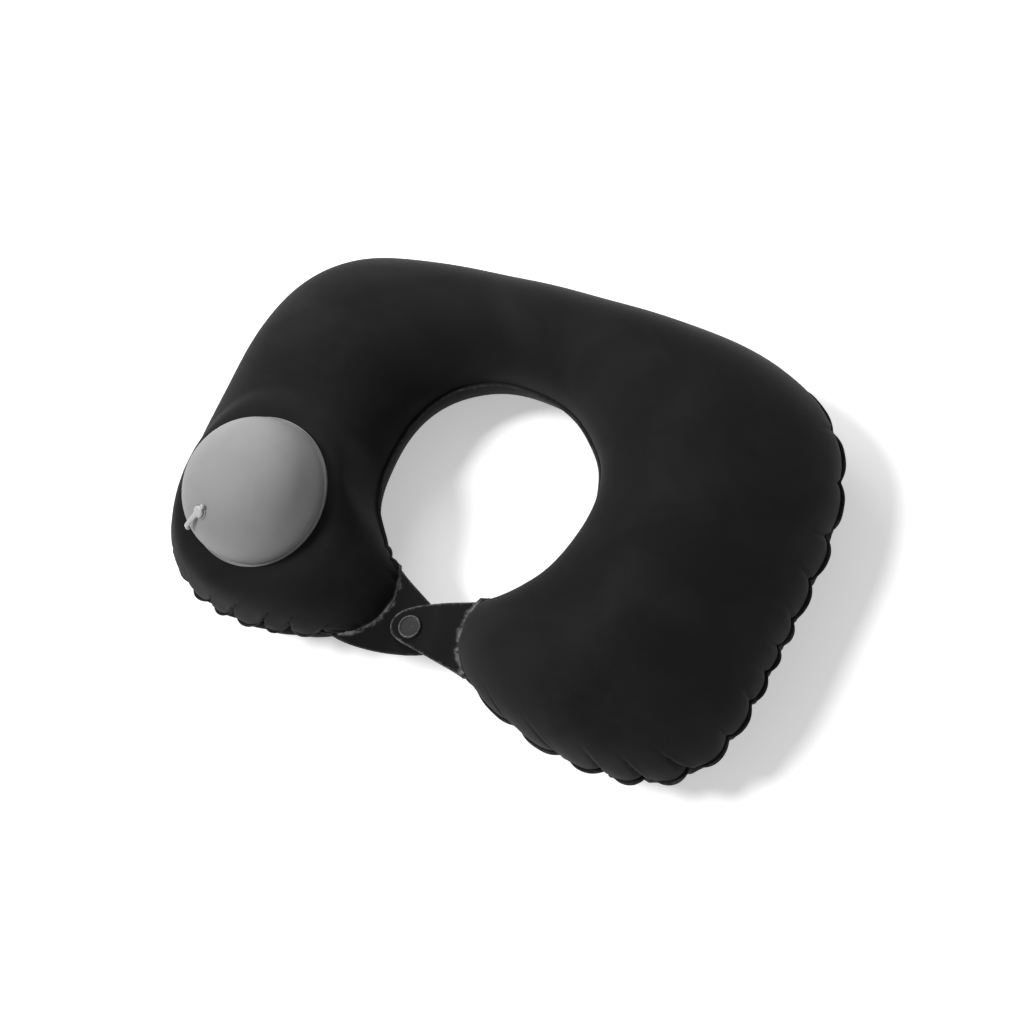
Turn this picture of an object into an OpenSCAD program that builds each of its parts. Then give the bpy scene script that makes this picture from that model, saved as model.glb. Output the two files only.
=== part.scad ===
// Inflatable U-shaped neck pillow with a press pump and a snap strap.
// Origin: on the table, under the middle of the pillow. +X is the pillow's left-right
// direction, -Y is the open front and +Z is up, with the lower sheet lying on the table.

/* [Pillow] */
// Overall width across the two lobes
pillow_w = 400; // [340:1:480]
// Neck centre to the back edge
back_d = 136; // [115:1:165]
// Neck centre to the front of the lobes, before the front is drawn in
front_d = 136; // [115:1:165]
// Squareness of the back corners, 2 is a plain ellipse
back_square = 3.6; // [2.4:0.1:5]
// Squareness of the lobes' outer front corners
front_square = 4.6; // [2.4:0.1:6]
// Share by which the front edge is drawn in beside the straps
front_pull = 0.42; // [0:0.01:0.5]
// Angle either side of the front over which the edge is drawn in
pull_angle = 55; // [40:1:70]
// Full thickness at the back of the neck
back_t = 88; // [70:1:105]
// Full thickness at the lobes
lobe_t = 99; // [75:1:115]
// Length over which each lobe's end swells to full thickness
end_round = 59; // [40:1:80]
// Height of the weld plane above the table
seam_h = 43; // [38:1:48]

/* [Neck opening] */
// Half width of the opening
neck_half_w = 69; // [55:1:85]
// Neck centre to the back of the opening
neck_back = 67; // [55:1:85]
// Neck centre to the front of the opening
neck_front = 68; // [60:1:85]
// Squareness of the opening, 2 is a plain ellipse
neck_square = 2.3; // [2:0.1:3]
// Angle from the front to where a lobe's end meets the opening
neck_end_angle = 25.5; // [22:0.5:32]
// Angle from the front to where a lobe's end meets the front edge
front_end_angle = 20.7; // [18:0.1:26]
// How far a lobe's rounded end stands out towards the other lobe
end_bulge = 9; // [5:0.5:12]

/* [Sheet] */
// Thickness of the flocked sheet
skin = 0.8; // [0.6:0.1:1.2]
// Width of the flat welded rim
rim_w = 3; // [2:0.5:5]
// Gap left between faces that are welded or bonded
weld_gap = 0.02; // [0.01:0.01:0.05]

/* [Straps] */
// Width of the plain margin between a lobe's end and its strap's fold
root_margin = 1.5; // [1:0.5:4]
// Gap at the fold between the rim and the strap
fold_gap = 0.4; // [0.3:0.1:0.8]
// Thickness of a strap, two welded sheets
strap_t = 1.6; // [1.2:0.1:2.4]
// Room left between the weld plane and each strap's facing side, for the snap
strap_room = 1.1; // [1:0.05:1.8]
// Length of that step
step_len = 15; // [12:1:18]
// Distance from the fold's neck end to the step, along X
step_margin = 6; // [4:0.5:8]
// Share across a lobe's end at which its strap begins, from the neck side
strap_from = 0.08; // [0.02:0.01:0.15]
// Share across a lobe's end at which its strap stops
strap_to = 0.86; // [0.75:0.01:0.95]
// Nose radius of the upper strap, on the right
upper_nose_r = 12.5; // [10:0.5:15]
// Nose radius of the lower strap, on the left
lower_nose_r = 17; // [14:0.5:19]
// How far the lower strap's nose reaches past the snap
lower_nose_past = 5; // [3:0.5:7]
// Sideways place of the snap
snap_x = -3; // [-6:0.5:3]
// Neck centre to the snap, forwards
snap_y = -96; // [-100:0.5:-92]

/* [Snap fastener] */
// Radius of the cap
cap_r = 7.2; // [6:0.1:8]
// Height of the cap
cap_h = 1.8; // [1.4:0.1:2.4]
// Radius of the socket and of the lower rivet plate
socket_r = 5.5; // [5:0.1:6]
// Radius of the rivet shanks
shank_r = 1.6; // [1.3:0.1:1.9]
// Radius of the stud's head
stud_r = 2.5; // [2.2:0.1:2.8]
// Clearance round the stud's head inside the spring
snap_clear = 0.4; // [0.3:0.05:0.6]
// Wire radius of the socket's spring
wire_r = 0.3; // [0.2:0.05:0.35]

/* [Pump] */
// Pump centre, sideways
pump_x = -115; // [-120:1:-108]
// Pump centre, forwards of the neck centre
pump_y = -62; // [-66:1:-56]
// Pump seat height above the weld plane
pump_z = 43; // [40:0.5:46]
// Lean of the pump towards the front
lean_front = 11; // [6:1:14]
// Lean of the pump towards the neck
lean_neck = 3; // [0:1:6]
// Radius of the dome
dome_r = 44.5; // [36:0.5:50]
// Height of the dome
dome_h = 38; // [34:0.5:44]
// Squareness of the dome's profile, 2 is an ellipse
dome_square = 2.35; // [2:0.05:2.8]
// Wall of the dome
dome_wall = 1.6; // [1.2:0.1:2.2]
// Width of the dome's flange outside the dome
flange_w = 1.6; // [1:0.1:3]
// Thickness of the flange and of the base plate
plate_t = 1.2; // [0.8:0.1:1.6]
// Height at which the soft skirt ends and the pressed crown begins
split_h = 18; // [17:0.5:20]
// Gap between the skirt and the crown
split_gap = 0.3; // [0.3:0.1:0.6]
// Outer radius of the outlet spigot
spigot_r = 5; // [4:0.1:7]
// Length of the outlet spigot below the base plate
spigot_len = 4; // [3:0.5:6]

/* [Intake valve] */
// Distance of the valve from the dome's axis
valve_off = 26; // [20:0.5:27]
// Direction of the valve round the dome's axis
valve_turn = 247; // [220:1:260]
// Turn of the plug and its tab from straight down the dome's slope
plug_turn = -13; // [-30:1:30]
// Radius of the valve's seat
seat_r = 5; // [4.5:0.1:5.6]
// Depth of the seat's recess in the dome
seat_recess = 0.8; // [0.6:0.1:1]
// Radius of the valve's air hole
air_r = 2; // [1.6:0.1:2.3]
// Wall of the valve's tube
tube_wall = 1.1; // [0.8:0.1:1.4]
// Length of the tube below the dome's outer face
tube_len = 3.4; // [3:0.1:4.5]
// Radius of the plug's head
plug_r = 3.6; // [3:0.1:4]
// Thickness of the plug's head
plug_t = 1.5; // [1.2:0.1:2]
// Length of the plug's tapered stem
stem_len = 2.4; // [2:0.1:2.6]
// Clearance round the plug's stem at the mouth of the hole
stem_clear = 0.1; // [0.08:0.01:0.2]
// Valve centre to the plug's hinge
hinge_off = 5.7; // [5:0.1:6]
// Valve centre to the tip of the pull tab
tab_reach = 16; // [10:0.5:18]
// Width of the pull tab
tab_w = 2.6; // [2:0.1:3.4]
// Thickness of the check flaps
flap_t = 0.4; // [0.3:0.1:0.6]

/* [Hidden] */

flock = [0.11, 0.11, 0.115];
sheet = [0.13, 0.13, 0.135];
dome_grey = [0.55, 0.55, 0.56];
plug_grey = [0.74, 0.74, 0.75];
clear_grey = [0.8, 0.8, 0.78];
gunmetal = [0.2, 0.2, 0.21];
steel = [0.7, 0.7, 0.72];

strap_step = strap_room + strap_t / 2;   // from the weld plane to a strap's middle
part_gap = 0.3;        // between pieces on different bodies that face each other
through = 20;          // overrun of every through cut
strap_reach = 70;      // further than any strap runs along X
facets = 64;

// ---- outline -------------------------------------------------------------
// Angles run from the front, -Y, round through +X to the back.
function power_radius(angle, half_w, half_d, square) =
    pow(pow(abs(sin(angle)) / half_w, square) + pow(abs(cos(angle)) / half_d, square),
        -1 / square);
function from_front(angle) = min(angle, 360 - angle);
function pull(angle) = 1 - front_pull * pow(max(0, 1 - from_front(angle) / pull_angle), 2);
function is_back(angle) = from_front(angle) > 90;
function on_ray(angle, radius) = [radius * sin(angle), -radius * cos(angle)];
function rim_point(angle) =
    on_ray(angle, pull(angle) * power_radius(angle, pillow_w / 2,
        is_back(angle) ? back_d : front_d, is_back(angle) ? back_square : front_square));
function neck_point(angle) =
    on_ray(angle, power_radius(angle, neck_half_w,
        is_back(angle) ? neck_back : neck_front, neck_square));

// Share of the way round the U, 0 at the +X lobe's end and 1 at the -X lobe's end
function rim_at(share) = rim_point(front_end_angle + (360 - 2 * front_end_angle) * share);
function neck_at(share) = neck_point(neck_end_angle + (360 - 2 * neck_end_angle) * share);
function mid_at(share) = (rim_at(share) + neck_at(share)) / 2;
function total(list) = list * [for (item = list) 1];
function unit(v) = v / norm(v);
length_steps = 40;
u_length = total([for (i = [1 : length_steps])
    norm(mid_at(i / length_steps) - mid_at((i - 1) / length_steps))]);
// Which way a lobe's end faces, in plan
function end_normal(side) =
    let (chord = rim_at(side) - neck_at(side), across = unit([chord[1], -chord[0]]))
    side == 0 ? across : -across;
function end_distance(share) = u_length * min(share, 1 - share);
bulge_reach = 1.2 * end_round;
function bulge_at(share) =
    end_bulge * pow(max(0, 1 - end_distance(share) / bulge_reach), 2);
function plan_point(share, across) =
    neck_at(share) * (1 - across) + rim_at(share) * across
    + end_normal(share < 0.5 ? 0 : 1) * bulge_at(share) * 4 * across * (1 - across);

// ---- inflated height -----------------------------------------------------
function smooth(x) = let (c = min(1, max(0, x))) c * c * (3 - 2 * c);
function backness(share) = pow(max(0, -cos(360 * share)), 1.5);
function half_thickness(share) =
    let (b = backness(share), reach = min(1, end_distance(share) / end_round))
    (back_t * b + lobe_t * (1 - b)) / 2 * sqrt(1 - pow(1 - reach, 2));
function crest(position) = sqrt(max(0, 1 - pow(2 * position - 1, 2)));

// ---- pump seat: the upper sheet is drawn flat under the pump's base --------
// The flat reaches past the base by the panel's widest grid step, so that no sloping face
// starts under the base.
plate_r = dome_r + flange_w;
across_steps = 14;
widest_step = PI / 2 * (pillow_w / 2 - neck_half_w) / across_steps;
seat_flat_r = plate_r + widest_step;
seat_blend_w = 12;
seat_blend_r = seat_flat_r + seat_blend_w;
rim_blend = 8;
pump_normal = [cos(lean_front) * sin(lean_neck), -sin(lean_front),
               cos(lean_front) * cos(lean_neck)];
function seat_height(p) =
    pump_z - ((p[0] - pump_x) * pump_normal[0] + (p[1] - pump_y) * pump_normal[1]) / pump_normal[2];
function seat_pull(p, edge) =
    smooth((seat_blend_r - norm(p - [pump_x, pump_y])) / (seat_blend_r - seat_flat_r))
    * smooth(edge / rim_blend);

// ---- panel shell -----------------------------------------------------------
end_steps = 7;
body_steps = 52;
end_share = end_round / u_length;
stations = concat(
    [for (i = [0 : end_steps - 1]) end_share * (1 - cos(90 * i / end_steps))],
    [for (i = [0 : body_steps]) end_share + (1 - 2 * end_share) * i / body_steps],
    [for (i = [end_steps - 1 : -1 : 0]) 1 - end_share * (1 - cos(90 * i / end_steps))]);
positions = [for (j = [0 : across_steps]) 0.5 - 0.5 * cos(180 * j / across_steps)];

// One face of a panel at one station: rim, inflated span, rim. inset is the width of the
// flat rim and lift the height of the flat part above the weld plane.
function face_row(share, inset, lift, seated) =
    let (width = norm(rim_at(share) - neck_at(share)), edge = inset / width)
    concat(
        [concat(plan_point(share, 0), [lift])],
        [for (s = positions)
            let (across = edge + (1 - 2 * edge) * s,
                 p = plan_point(share, across),
                 free = half_thickness(share) * crest(s),
                 held = seat_height(p) - (skin - lift) / pump_normal[2] - lift,
                 w = seated ? seat_pull(p, width * min(across, 1 - across)) : 0)
            concat(p, [lift + free * (1 - w) + held * w])],
        [concat(plan_point(share, 1), [lift])]);
// The flat margin past a lobe's end, where the fold of the strap lies
function fold_point(side, across) =
    neck_at(side) * (1 - across) + rim_at(side) * across
    + end_normal(side) * (end_bulge + root_margin);
function fold_row(side, lift) =
    [for (across = concat([0], [for (s = positions) s], [1]))
        concat(fold_point(side, across), [lift])];
function face_grid(inset, lift, seated) = concat(
    [fold_row(0, lift)],
    [for (share = stations) face_row(share, inset, lift, seated)],
    [fold_row(1, lift)]);

// Closes the space between two grids of the same size
module shell(top, bottom) {
    rows = len(top);
    cols = len(top[0]);
    count = rows * cols;
    points = concat([for (row = top) each row], [for (row = bottom) each row]);
    function at(layer, r, c) = layer * count + r * cols + c;
    function quad(a, b, c, d) = [[a, c, b], [a, d, c]];
    faces = concat(
        [for (r = [0 : rows - 2], c = [0 : cols - 2])
            each quad(at(0, r, c), at(0, r, c + 1), at(0, r + 1, c + 1), at(0, r + 1, c))],
        [for (r = [0 : rows - 2], c = [0 : cols - 2])
            each quad(at(1, r + 1, c), at(1, r + 1, c + 1), at(1, r, c + 1), at(1, r, c))],
        [for (r = [0 : rows - 2])
            each quad(at(0, r + 1, 0), at(1, r + 1, 0), at(1, r, 0), at(0, r, 0))],
        [for (r = [0 : rows - 2])
            each quad(at(0, r, cols - 1), at(1, r, cols - 1), at(1, r + 1, cols - 1),
                      at(0, r + 1, cols - 1))],
        [for (c = [0 : cols - 2])
            each quad(at(0, 0, c), at(1, 0, c), at(1, 0, c + 1), at(0, 0, c + 1))],
        [for (c = [0 : cols - 2])
            each quad(at(0, rows - 1, c + 1), at(1, rows - 1, c + 1), at(1, rows - 1, c),
                      at(0, rows - 1, c))]);
    polyhedron(points, faces, convexity = 6);
}

// The front reaches further than front_d says once it is drawn in, so the middle of the
// finished outline is measured.
front_reach = -min([for (share = stations) rim_at(share)[1]]);
centre_y = (back_d - front_reach) / 2;
module at_neck() translate([0, -centre_y, seam_h]) children();

// A grid turned upside down and pressed flat where it would pass below floor_z
function lowered(grid, floor_z) =
    [for (row = grid) [for (p = row) [p[0], p[1], max(-p[2], floor_z)]]];
// A round cutter along Z that passes both faces of what it cuts
module through_hole(radius) {
    translate([0, 0, -through]) cylinder(r = radius, h = 2 * through, $fn = facets);
}

module upper_panel() {
    color(flock) at_neck() difference() {
        translate([0, 0, weld_gap / 2])
            shell(face_grid(rim_w, skin, true), face_grid(rim_w + skin, 0, true));
        at_pump() through_hole(spigot_r + weld_gap);
    }
}

module lower_panel() {
    color(flock) at_neck() translate([0, 0, -weld_gap / 2])
        shell(lowered(face_grid(rim_w + skin, 0, false), -seam_h + weld_gap / 2 + skin),
              lowered(face_grid(rim_w, skin, false), -seam_h + weld_gap / 2));
}

// ---- straps ----------------------------------------------------------------
// The fold line of one lobe's strap, from the neck side to the front side. side 0 is +X.
function fold_start(side) = fold_point(side, strap_from);
function fold_end(side) = fold_point(side, strap_to);

fold_crown = 1;        // how far the strap's root bows out past its fold line
module strap_plan(side, nose_x, nose_r) {
    away = end_normal(side) * fold_gap;
    hull() {
        translate([nose_x, snap_y]) circle(nose_r, $fn = facets);
        polygon([fold_start(side) + away, fold_end(side) + away,
                 (fold_start(side) + fold_end(side)) / 2 + away
                 + end_normal(side) * fold_crown]);
    }
}

// A side view along X: level at the fold, then a step, then level. dir is +1 when the
// strap runs to +X and step its change of height.
module strap_side(start_x, dir, step) {
    half = strap_t / 2;
    bend = start_x + dir * step_len;
    rotate([90, 0, 0]) linear_extrude(height = pillow_w, center = true)
        polygon([[start_x - dir * strap_reach, -half], [start_x, -half], [bend, step - half],
                 [bend + dir * strap_reach, step - half], [bend + dir * strap_reach, step + half],
                 [bend, step + half], [start_x, half], [start_x - dir * strap_reach, half]]);
}

step_start = fold_start(0)[0] + step_margin;
module strap(side, step, nose_x, nose_r) {
    dir = side == 0 ? -1 : 1;
    difference() {
        intersection() {
            translate([0, 0, -through]) linear_extrude(height = 2 * through)
                strap_plan(side, nose_x, nose_r);
            strap_side(-dir * step_start, dir, step);
        }
        translate([snap_x, snap_y, 0]) through_hole(shank_r + weld_gap);
    }
}

module upper_strap() {
    color(sheet) at_neck()
        strap(0, strap_step, snap_x, upper_nose_r);
}

module lower_strap() {
    color(sheet) at_neck()
        strap(1, -strap_step, snap_x + lower_nose_past, lower_nose_r);
}

// ---- snap fastener -----------------------------------------------------------
module at_snap() at_neck() translate([snap_x, snap_y, 0]) children();
upper_face = strap_step + strap_t / 2;      // top of the upper strap
upper_under = strap_step - strap_t / 2;
lower_face = -upper_under;                  // top of the lower strap
lower_under = -upper_face;
stud_plate_t = 0.5;
stud_roof = 0.5;                            // metal over the stud's bore
rivet_gap = 0.22;                           // over the rivet's shank inside that bore
rivet_plate_t = 0.8;
socket_roof = 0.3;
head_overhang = 0.4;                        // of the stud's head over its neck
head_top = upper_under - socket_roof - part_gap;
edge_break = 0.3;
spring_slack = 0.05;
spring_drop = 0.15;                         // of the spring below the socket's roof
spring_arc = 310;                           // the split ring's turn, less its gap
spring_gap_at = 25;                         // direction in which the gap ends
socket_foot = lower_face + stud_plate_t + part_gap;
spring_z = upper_under - socket_roof - wire_r - spring_drop;
spring_r = stud_r + snap_clear + wire_r;
cap_bevel = 0.7;
cap_dish = 0.35;
cap_root = 0.5;                             // of the cap's shank inside the cap
cut_over = 1;                               // overrun of the snap's short cuts

module snap_cap() {
    color(gunmetal) at_snap() {
        translate([0, 0, upper_face + weld_gap]) rotate_extrude($fn = facets)
            polygon([[0, 0], [cap_r - edge_break, 0], [cap_r, edge_break], [cap_r - cap_bevel, cap_h],
                     [cap_r - 2 * cap_bevel, cap_h - cap_dish], [0, cap_h - cap_dish]]);
        translate([0, 0, upper_under])
            cylinder(r = shank_r, h = strap_t + cap_root, $fn = facets);
    }
}

module snap_socket() {
    cavity_r = spring_r + wire_r + 3 * spring_slack;
    color(steel) at_snap() difference() {
        translate([0, 0, socket_foot])
            cylinder(r = socket_r, h = upper_under - weld_gap - socket_foot, $fn = facets);
        translate([0, 0, socket_foot - cut_over])
            cylinder(r = stud_r + snap_clear, $fn = facets,
                     h = upper_under - socket_roof - socket_foot + cut_over);
        translate([0, 0, spring_z - wire_r - spring_slack])
            cylinder(r = cavity_r, h = 2 * (wire_r + spring_slack), $fn = facets);
    }
}

module socket_spring() {
    color(steel) at_snap() translate([0, 0, spring_z]) rotate([0, 0, spring_gap_at])
        rotate_extrude(angle = spring_arc, $fn = facets)
            translate([spring_r, 0]) circle(wire_r, $fn = 16);
}

module snap_stud() {
    base = lower_face + weld_gap;
    plate_top = lower_face + stud_plate_t;
    color(steel) at_snap() difference() {
        rotate_extrude($fn = facets)
            polygon([[0, base], [socket_r - edge_break, base], [socket_r - edge_break, plate_top],
                     [stud_r - head_overhang, plate_top],
                     [stud_r - head_overhang, head_top - 2 * head_overhang],
                     [stud_r, head_top - head_overhang], [stud_r - edge_break, head_top],
                     [0, head_top]]);
        translate([0, 0, base - cut_over])
            cylinder(r = shank_r + weld_gap, h = head_top - stud_roof - base + cut_over,
                     $fn = facets);
    }
}

module stud_rivet() {
    plate_top = lower_under - weld_gap;
    shank_foot = plate_top - rivet_plate_t / 2;
    color(gunmetal) at_snap() {
        translate([0, 0, plate_top - rivet_plate_t])
            cylinder(r = socket_r, h = rivet_plate_t, $fn = facets);
        translate([0, 0, shank_foot])
            cylinder(r = shank_r, h = head_top - stud_roof - rivet_gap - shank_foot,
                     $fn = facets);
    }
}

// ---- pump ---------------------------------------------------------------------
module at_pump()
    translate([pump_x, pump_y, pump_z]) rotate([lean_front, lean_neck, 0]) children();
module on_pump()
    at_neck() translate([0, 0, weld_gap / 2]) at_pump() translate([0, 0, weld_gap]) children();

flange_z = plate_t + weld_gap;
dome_steps = 14;
// Radius of a dome of base radius r and height h, at height z
function dome_radius(z, r, h) = r * pow(1 - pow(min(1, z / h), dome_square), 1 / dome_square);
function dome_height(x, r, h) = h * pow(1 - pow(min(1, x / r), dome_square), 1 / dome_square);
outer_h = dome_h - flange_z;
inner_r = dome_r - dome_wall;
inner_h = outer_h - dome_wall;

module pump_base() {
    color(clear_grey) on_pump() difference() {
        union() {
            cylinder(r = plate_r, h = plate_t, $fn = 96);
            translate([0, 0, -spigot_len])
                cylinder(r = spigot_r, h = spigot_len + plate_t / 2, $fn = facets);
        }
        through_hole(spigot_r - tube_wall);
    }
}

module pump_skirt() {
    steps = 6;
    wall_h = split_h - flange_z;
    color(dome_grey) on_pump() translate([0, 0, flange_z]) rotate_extrude($fn = 96)
        polygon(concat(
            [[inner_r, 0], [plate_r, 0], [plate_r, plate_t], [dome_r, plate_t]],
            [for (i = [1 : steps]) let (z = plate_t + (wall_h - plate_t) * i / steps)
                [dome_radius(z, dome_r, outer_h), z]],
            [for (i = [steps : -1 : 1]) let (z = wall_h * i / steps)
                [dome_radius(z, inner_r, inner_h), z]]));
}

module pump_crown() {
    foot = split_h - flange_z + split_gap;
    outer_edge = dome_radius(foot, dome_r, outer_h);
    inner_edge = dome_radius(foot, inner_r, inner_h);
    color(dome_grey) on_pump() difference() {
        translate([0, 0, flange_z]) rotate_extrude($fn = 96)
            polygon(concat(
                [for (i = [0 : dome_steps]) let (x = outer_edge * cos(90 * i / dome_steps))
                    [x, i == 0 ? foot : dome_height(x, dome_r, outer_h)]],
                [for (i = [dome_steps : -1 : 0]) let (x = inner_edge * cos(90 * i / dome_steps))
                    [x, i == 0 ? foot : dome_height(x, inner_r, inner_h)]]));
        at_valve() {
            translate([0, 0, -seat_recess])
                cylinder(r = seat_r + weld_gap, h = through, $fn = facets);
            through_hole(air_r + tube_wall + weld_gap);
        }
    }
}

// A one-way flap: a disc with a short neck to its fold, at -X of the disc
flap_neck = 1;         // how far the neck stands out of the disc
flap_gap = 2 * weld_gap;
outlet_lap = 0.6;      // of the outlet flap past its spigot
intake_lap = -0.1;     // of the intake flap past its tube
module flap(radius) {
    translate([0, 0, -flap_t]) cylinder(r = radius, h = flap_t, $fn = facets);
    translate([-radius - flap_neck, -radius / 3, -flap_t])
        cube([2 * flap_neck, 2 * radius / 3, flap_t]);
}

module outlet_flap() {
    color(clear_grey) on_pump() translate([0, 0, -spigot_len - flap_gap])
        flap(spigot_r + outlet_lap);
}

// ---- intake valve ----------------------------------------------------------------
valve_h = dome_height(valve_off, dome_r, outer_h);
valve_tilt = atan2(pow(valve_off / dome_r, dome_square - 1) / dome_r,
                   pow(valve_h / outer_h, dome_square - 1) / outer_h);
// Origin on the dome's outer face, Z along its normal and X towards the tab's tip
module at_valve() translate([0, 0, flange_z]) rotate([0, 0, valve_turn])
    translate([valve_off, 0, valve_h]) rotate([0, valve_tilt, 0]) rotate([0, 0, plug_turn])
    children();
seat_top = 0.3;
head_foot = seat_top + 0.1;
post_w = 2.4;
stem_taper = 0.4;      // loss of the stem's radius for each unit of its length
tab_lift = 0.2;        // of the tab's underside over the head's
hook_w = 1.6;          // slope of the tab's hooked tip, along the tab
hook_t = 1.4;          // thickness of the tip
hook_drop = 1.8;       // of the tip below the head's foot

module valve_seat() {
    color(dome_grey) on_pump() at_valve() difference() {
        union() {
            translate([0, 0, -seat_recess + weld_gap])
                cylinder(r = seat_r, h = seat_recess - weld_gap + seat_top, $fn = facets);
            translate([0, 0, -tube_len]) cylinder(r = air_r + tube_wall, h = tube_len, $fn = facets);
        }
        through_hole(air_r);
    }
}

module valve_plug() {
    stem_r = air_r - stem_clear;
    stem_tip_r = stem_r - stem_taper * stem_len;
    tab_under = head_foot + tab_lift;
    tab_top = head_foot + plug_t - tab_lift;
    color(plug_grey) on_pump() at_valve() union() {
        translate([0, 0, head_foot])
            cylinder(r1 = plug_r, r2 = plug_r - edge_break, h = plug_t, $fn = facets);
        translate([0, 0, head_foot - stem_len])
            cylinder(r1 = stem_tip_r, r2 = stem_r, h = stem_len + tab_lift, $fn = facets);
        translate([-hinge_off, -post_w / 2, head_foot])
            cube([hinge_off - plug_r / 2, post_w, plug_t - edge_break]);
        rotate([90, 0, 0]) linear_extrude(height = tab_w, center = true)
            polygon([[plug_r / 2, tab_under], [tab_reach - hook_w - hook_t, tab_under],
                     [tab_reach - hook_t, head_foot - hook_drop], [tab_reach, head_foot - hook_drop],
                     [tab_reach - hook_t, tab_top], [plug_r / 2, tab_top]]);
    }
}

module intake_flap() {
    color(clear_grey) on_pump() at_valve() translate([0, 0, -tube_len - flap_gap])
        flap(air_r + tube_wall + intake_lap);
}

upper_panel();
lower_panel();
upper_strap();
lower_strap();
pump_base();
pump_skirt();
pump_crown();
outlet_flap();
valve_seat();
valve_plug();
intake_flap();
snap_cap();
snap_socket();
socket_spring();
snap_stud();
stud_rivet();
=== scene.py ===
"""Shape and finish of an inflatable U-shaped neck pillow with a press pump and a snap strap.

All lengths are in metres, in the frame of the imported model: +X is left-right, -Y is the
open front and +Z is up from the table.
"""

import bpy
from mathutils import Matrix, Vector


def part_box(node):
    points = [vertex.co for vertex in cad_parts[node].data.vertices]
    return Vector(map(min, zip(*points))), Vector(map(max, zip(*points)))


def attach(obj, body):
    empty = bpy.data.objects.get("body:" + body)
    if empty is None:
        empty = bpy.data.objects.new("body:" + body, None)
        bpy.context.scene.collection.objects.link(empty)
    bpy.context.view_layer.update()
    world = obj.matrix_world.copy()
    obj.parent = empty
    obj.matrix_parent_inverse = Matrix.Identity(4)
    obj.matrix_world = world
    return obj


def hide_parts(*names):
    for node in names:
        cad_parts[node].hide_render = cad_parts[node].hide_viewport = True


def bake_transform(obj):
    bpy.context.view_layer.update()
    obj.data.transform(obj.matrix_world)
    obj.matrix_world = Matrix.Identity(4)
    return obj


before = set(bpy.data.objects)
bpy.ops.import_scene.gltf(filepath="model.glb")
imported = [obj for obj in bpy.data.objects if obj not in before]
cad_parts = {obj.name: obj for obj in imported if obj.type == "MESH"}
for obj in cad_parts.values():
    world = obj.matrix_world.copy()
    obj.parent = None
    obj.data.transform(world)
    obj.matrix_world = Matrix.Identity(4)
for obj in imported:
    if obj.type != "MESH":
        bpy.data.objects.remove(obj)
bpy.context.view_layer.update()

import math

import bmesh
import bpy
import numpy as np
from mathutils import Matrix, Vector
from mathutils.geometry import delaunay_2d_cdt

bl_info = {
    "name": "Inflatable Neck Pillow",
    "version": (1, 0, 0),
    "blender": (4, 5, 0),
    "location": "View3D > Sidebar > Neck Pillow",
    "description": "Builds a flocked inflatable neck pillow with a press pump and a snap strap",
    "category": "Object",
}

MM = 0.001
TAU = 2 * math.pi
PANEL_LOW, PANEL_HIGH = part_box("upper_panel")
LOWER_LOW, LOWER_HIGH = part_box("lower_panel")


# ---- sizes a user would change ------------------------------------------------------
class PillowSizes(bpy.types.PropertyGroup):
    """Sizes of the inflated body."""

    width: bpy.props.FloatProperty(
        name="Width", description="Overall width across the two lobes",
        default=PANEL_HIGH.x - PANEL_LOW.x, unit="LENGTH")
    back_depth: bpy.props.FloatProperty(
        name="Back Depth", description="Neck centre to the back edge",
        default=0.136, unit="LENGTH")
    front_depth: bpy.props.FloatProperty(
        name="Front Depth", description="Neck centre to the lobes' front before it is drawn in",
        default=0.136, unit="LENGTH")
    back_square: bpy.props.FloatProperty(
        name="Back Squareness", description="Squareness of the back corners, 2 is an ellipse",
        default=3.6, subtype="FACTOR")
    front_square: bpy.props.FloatProperty(
        name="Front Squareness", description="Squareness of the front corners, 2 is an ellipse",
        default=4.6, subtype="FACTOR")
    front_pull: bpy.props.FloatProperty(
        name="Front Pull", description="Share by which the front edge is drawn in",
        default=0.42, subtype="FACTOR")
    pull_angle: bpy.props.FloatProperty(
        name="Pull Angle", description="Angle either side of the front that is drawn in",
        default=math.radians(55), subtype="ANGLE")
    back_thick: bpy.props.FloatProperty(
        name="Back Thickness", description="Full thickness at the back of the neck",
        default=0.088, unit="LENGTH")
    lobe_thick: bpy.props.FloatProperty(
        name="Lobe Thickness", description="Full thickness at the lobes",
        default=0.099, unit="LENGTH")
    end_round: bpy.props.FloatProperty(
        name="End Rounding", description="Length over which a lobe's end swells up",
        default=0.059, unit="LENGTH")
    neck_half: bpy.props.FloatProperty(
        name="Neck Half Width", description="Half width of the neck opening",
        default=0.069, unit="LENGTH")
    neck_back: bpy.props.FloatProperty(
        name="Neck Back", description="Neck centre to the back of the opening",
        default=0.067, unit="LENGTH")
    neck_front: bpy.props.FloatProperty(
        name="Neck Front", description="Neck centre to the front of the opening",
        default=0.068, unit="LENGTH")
    neck_square: bpy.props.FloatProperty(
        name="Neck Squareness", description="Squareness of the opening, 2 is an ellipse",
        default=2.3, subtype="FACTOR")
    neck_end: bpy.props.FloatProperty(
        name="Neck End Angle", description="From the front to where a lobe meets the opening",
        default=math.radians(25.5), subtype="ANGLE")
    rim_end: bpy.props.FloatProperty(
        name="Rim End Angle", description="From the front to where a lobe meets the front edge",
        default=math.radians(20.7), subtype="ANGLE")
    end_slack: bpy.props.FloatProperty(
        name="End Slack", description="How gently a lobe rises from its end weld, 0 is upright",
        default=0.24, subtype="FACTOR")
    end_bulge: bpy.props.FloatProperty(
        name="End Bulge", description="How far a lobe's end stands out to the other",
        default=0.009, unit="LENGTH")
    flange: bpy.props.FloatProperty(
        name="Flange", description="Width of the welded rim that shows round the body",
        default=0.0024, unit="LENGTH")
    flange_thick: bpy.props.FloatProperty(
        name="Flange Thickness", description="Thickness of the two welded sheets",
        default=0.0013, unit="LENGTH")


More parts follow.
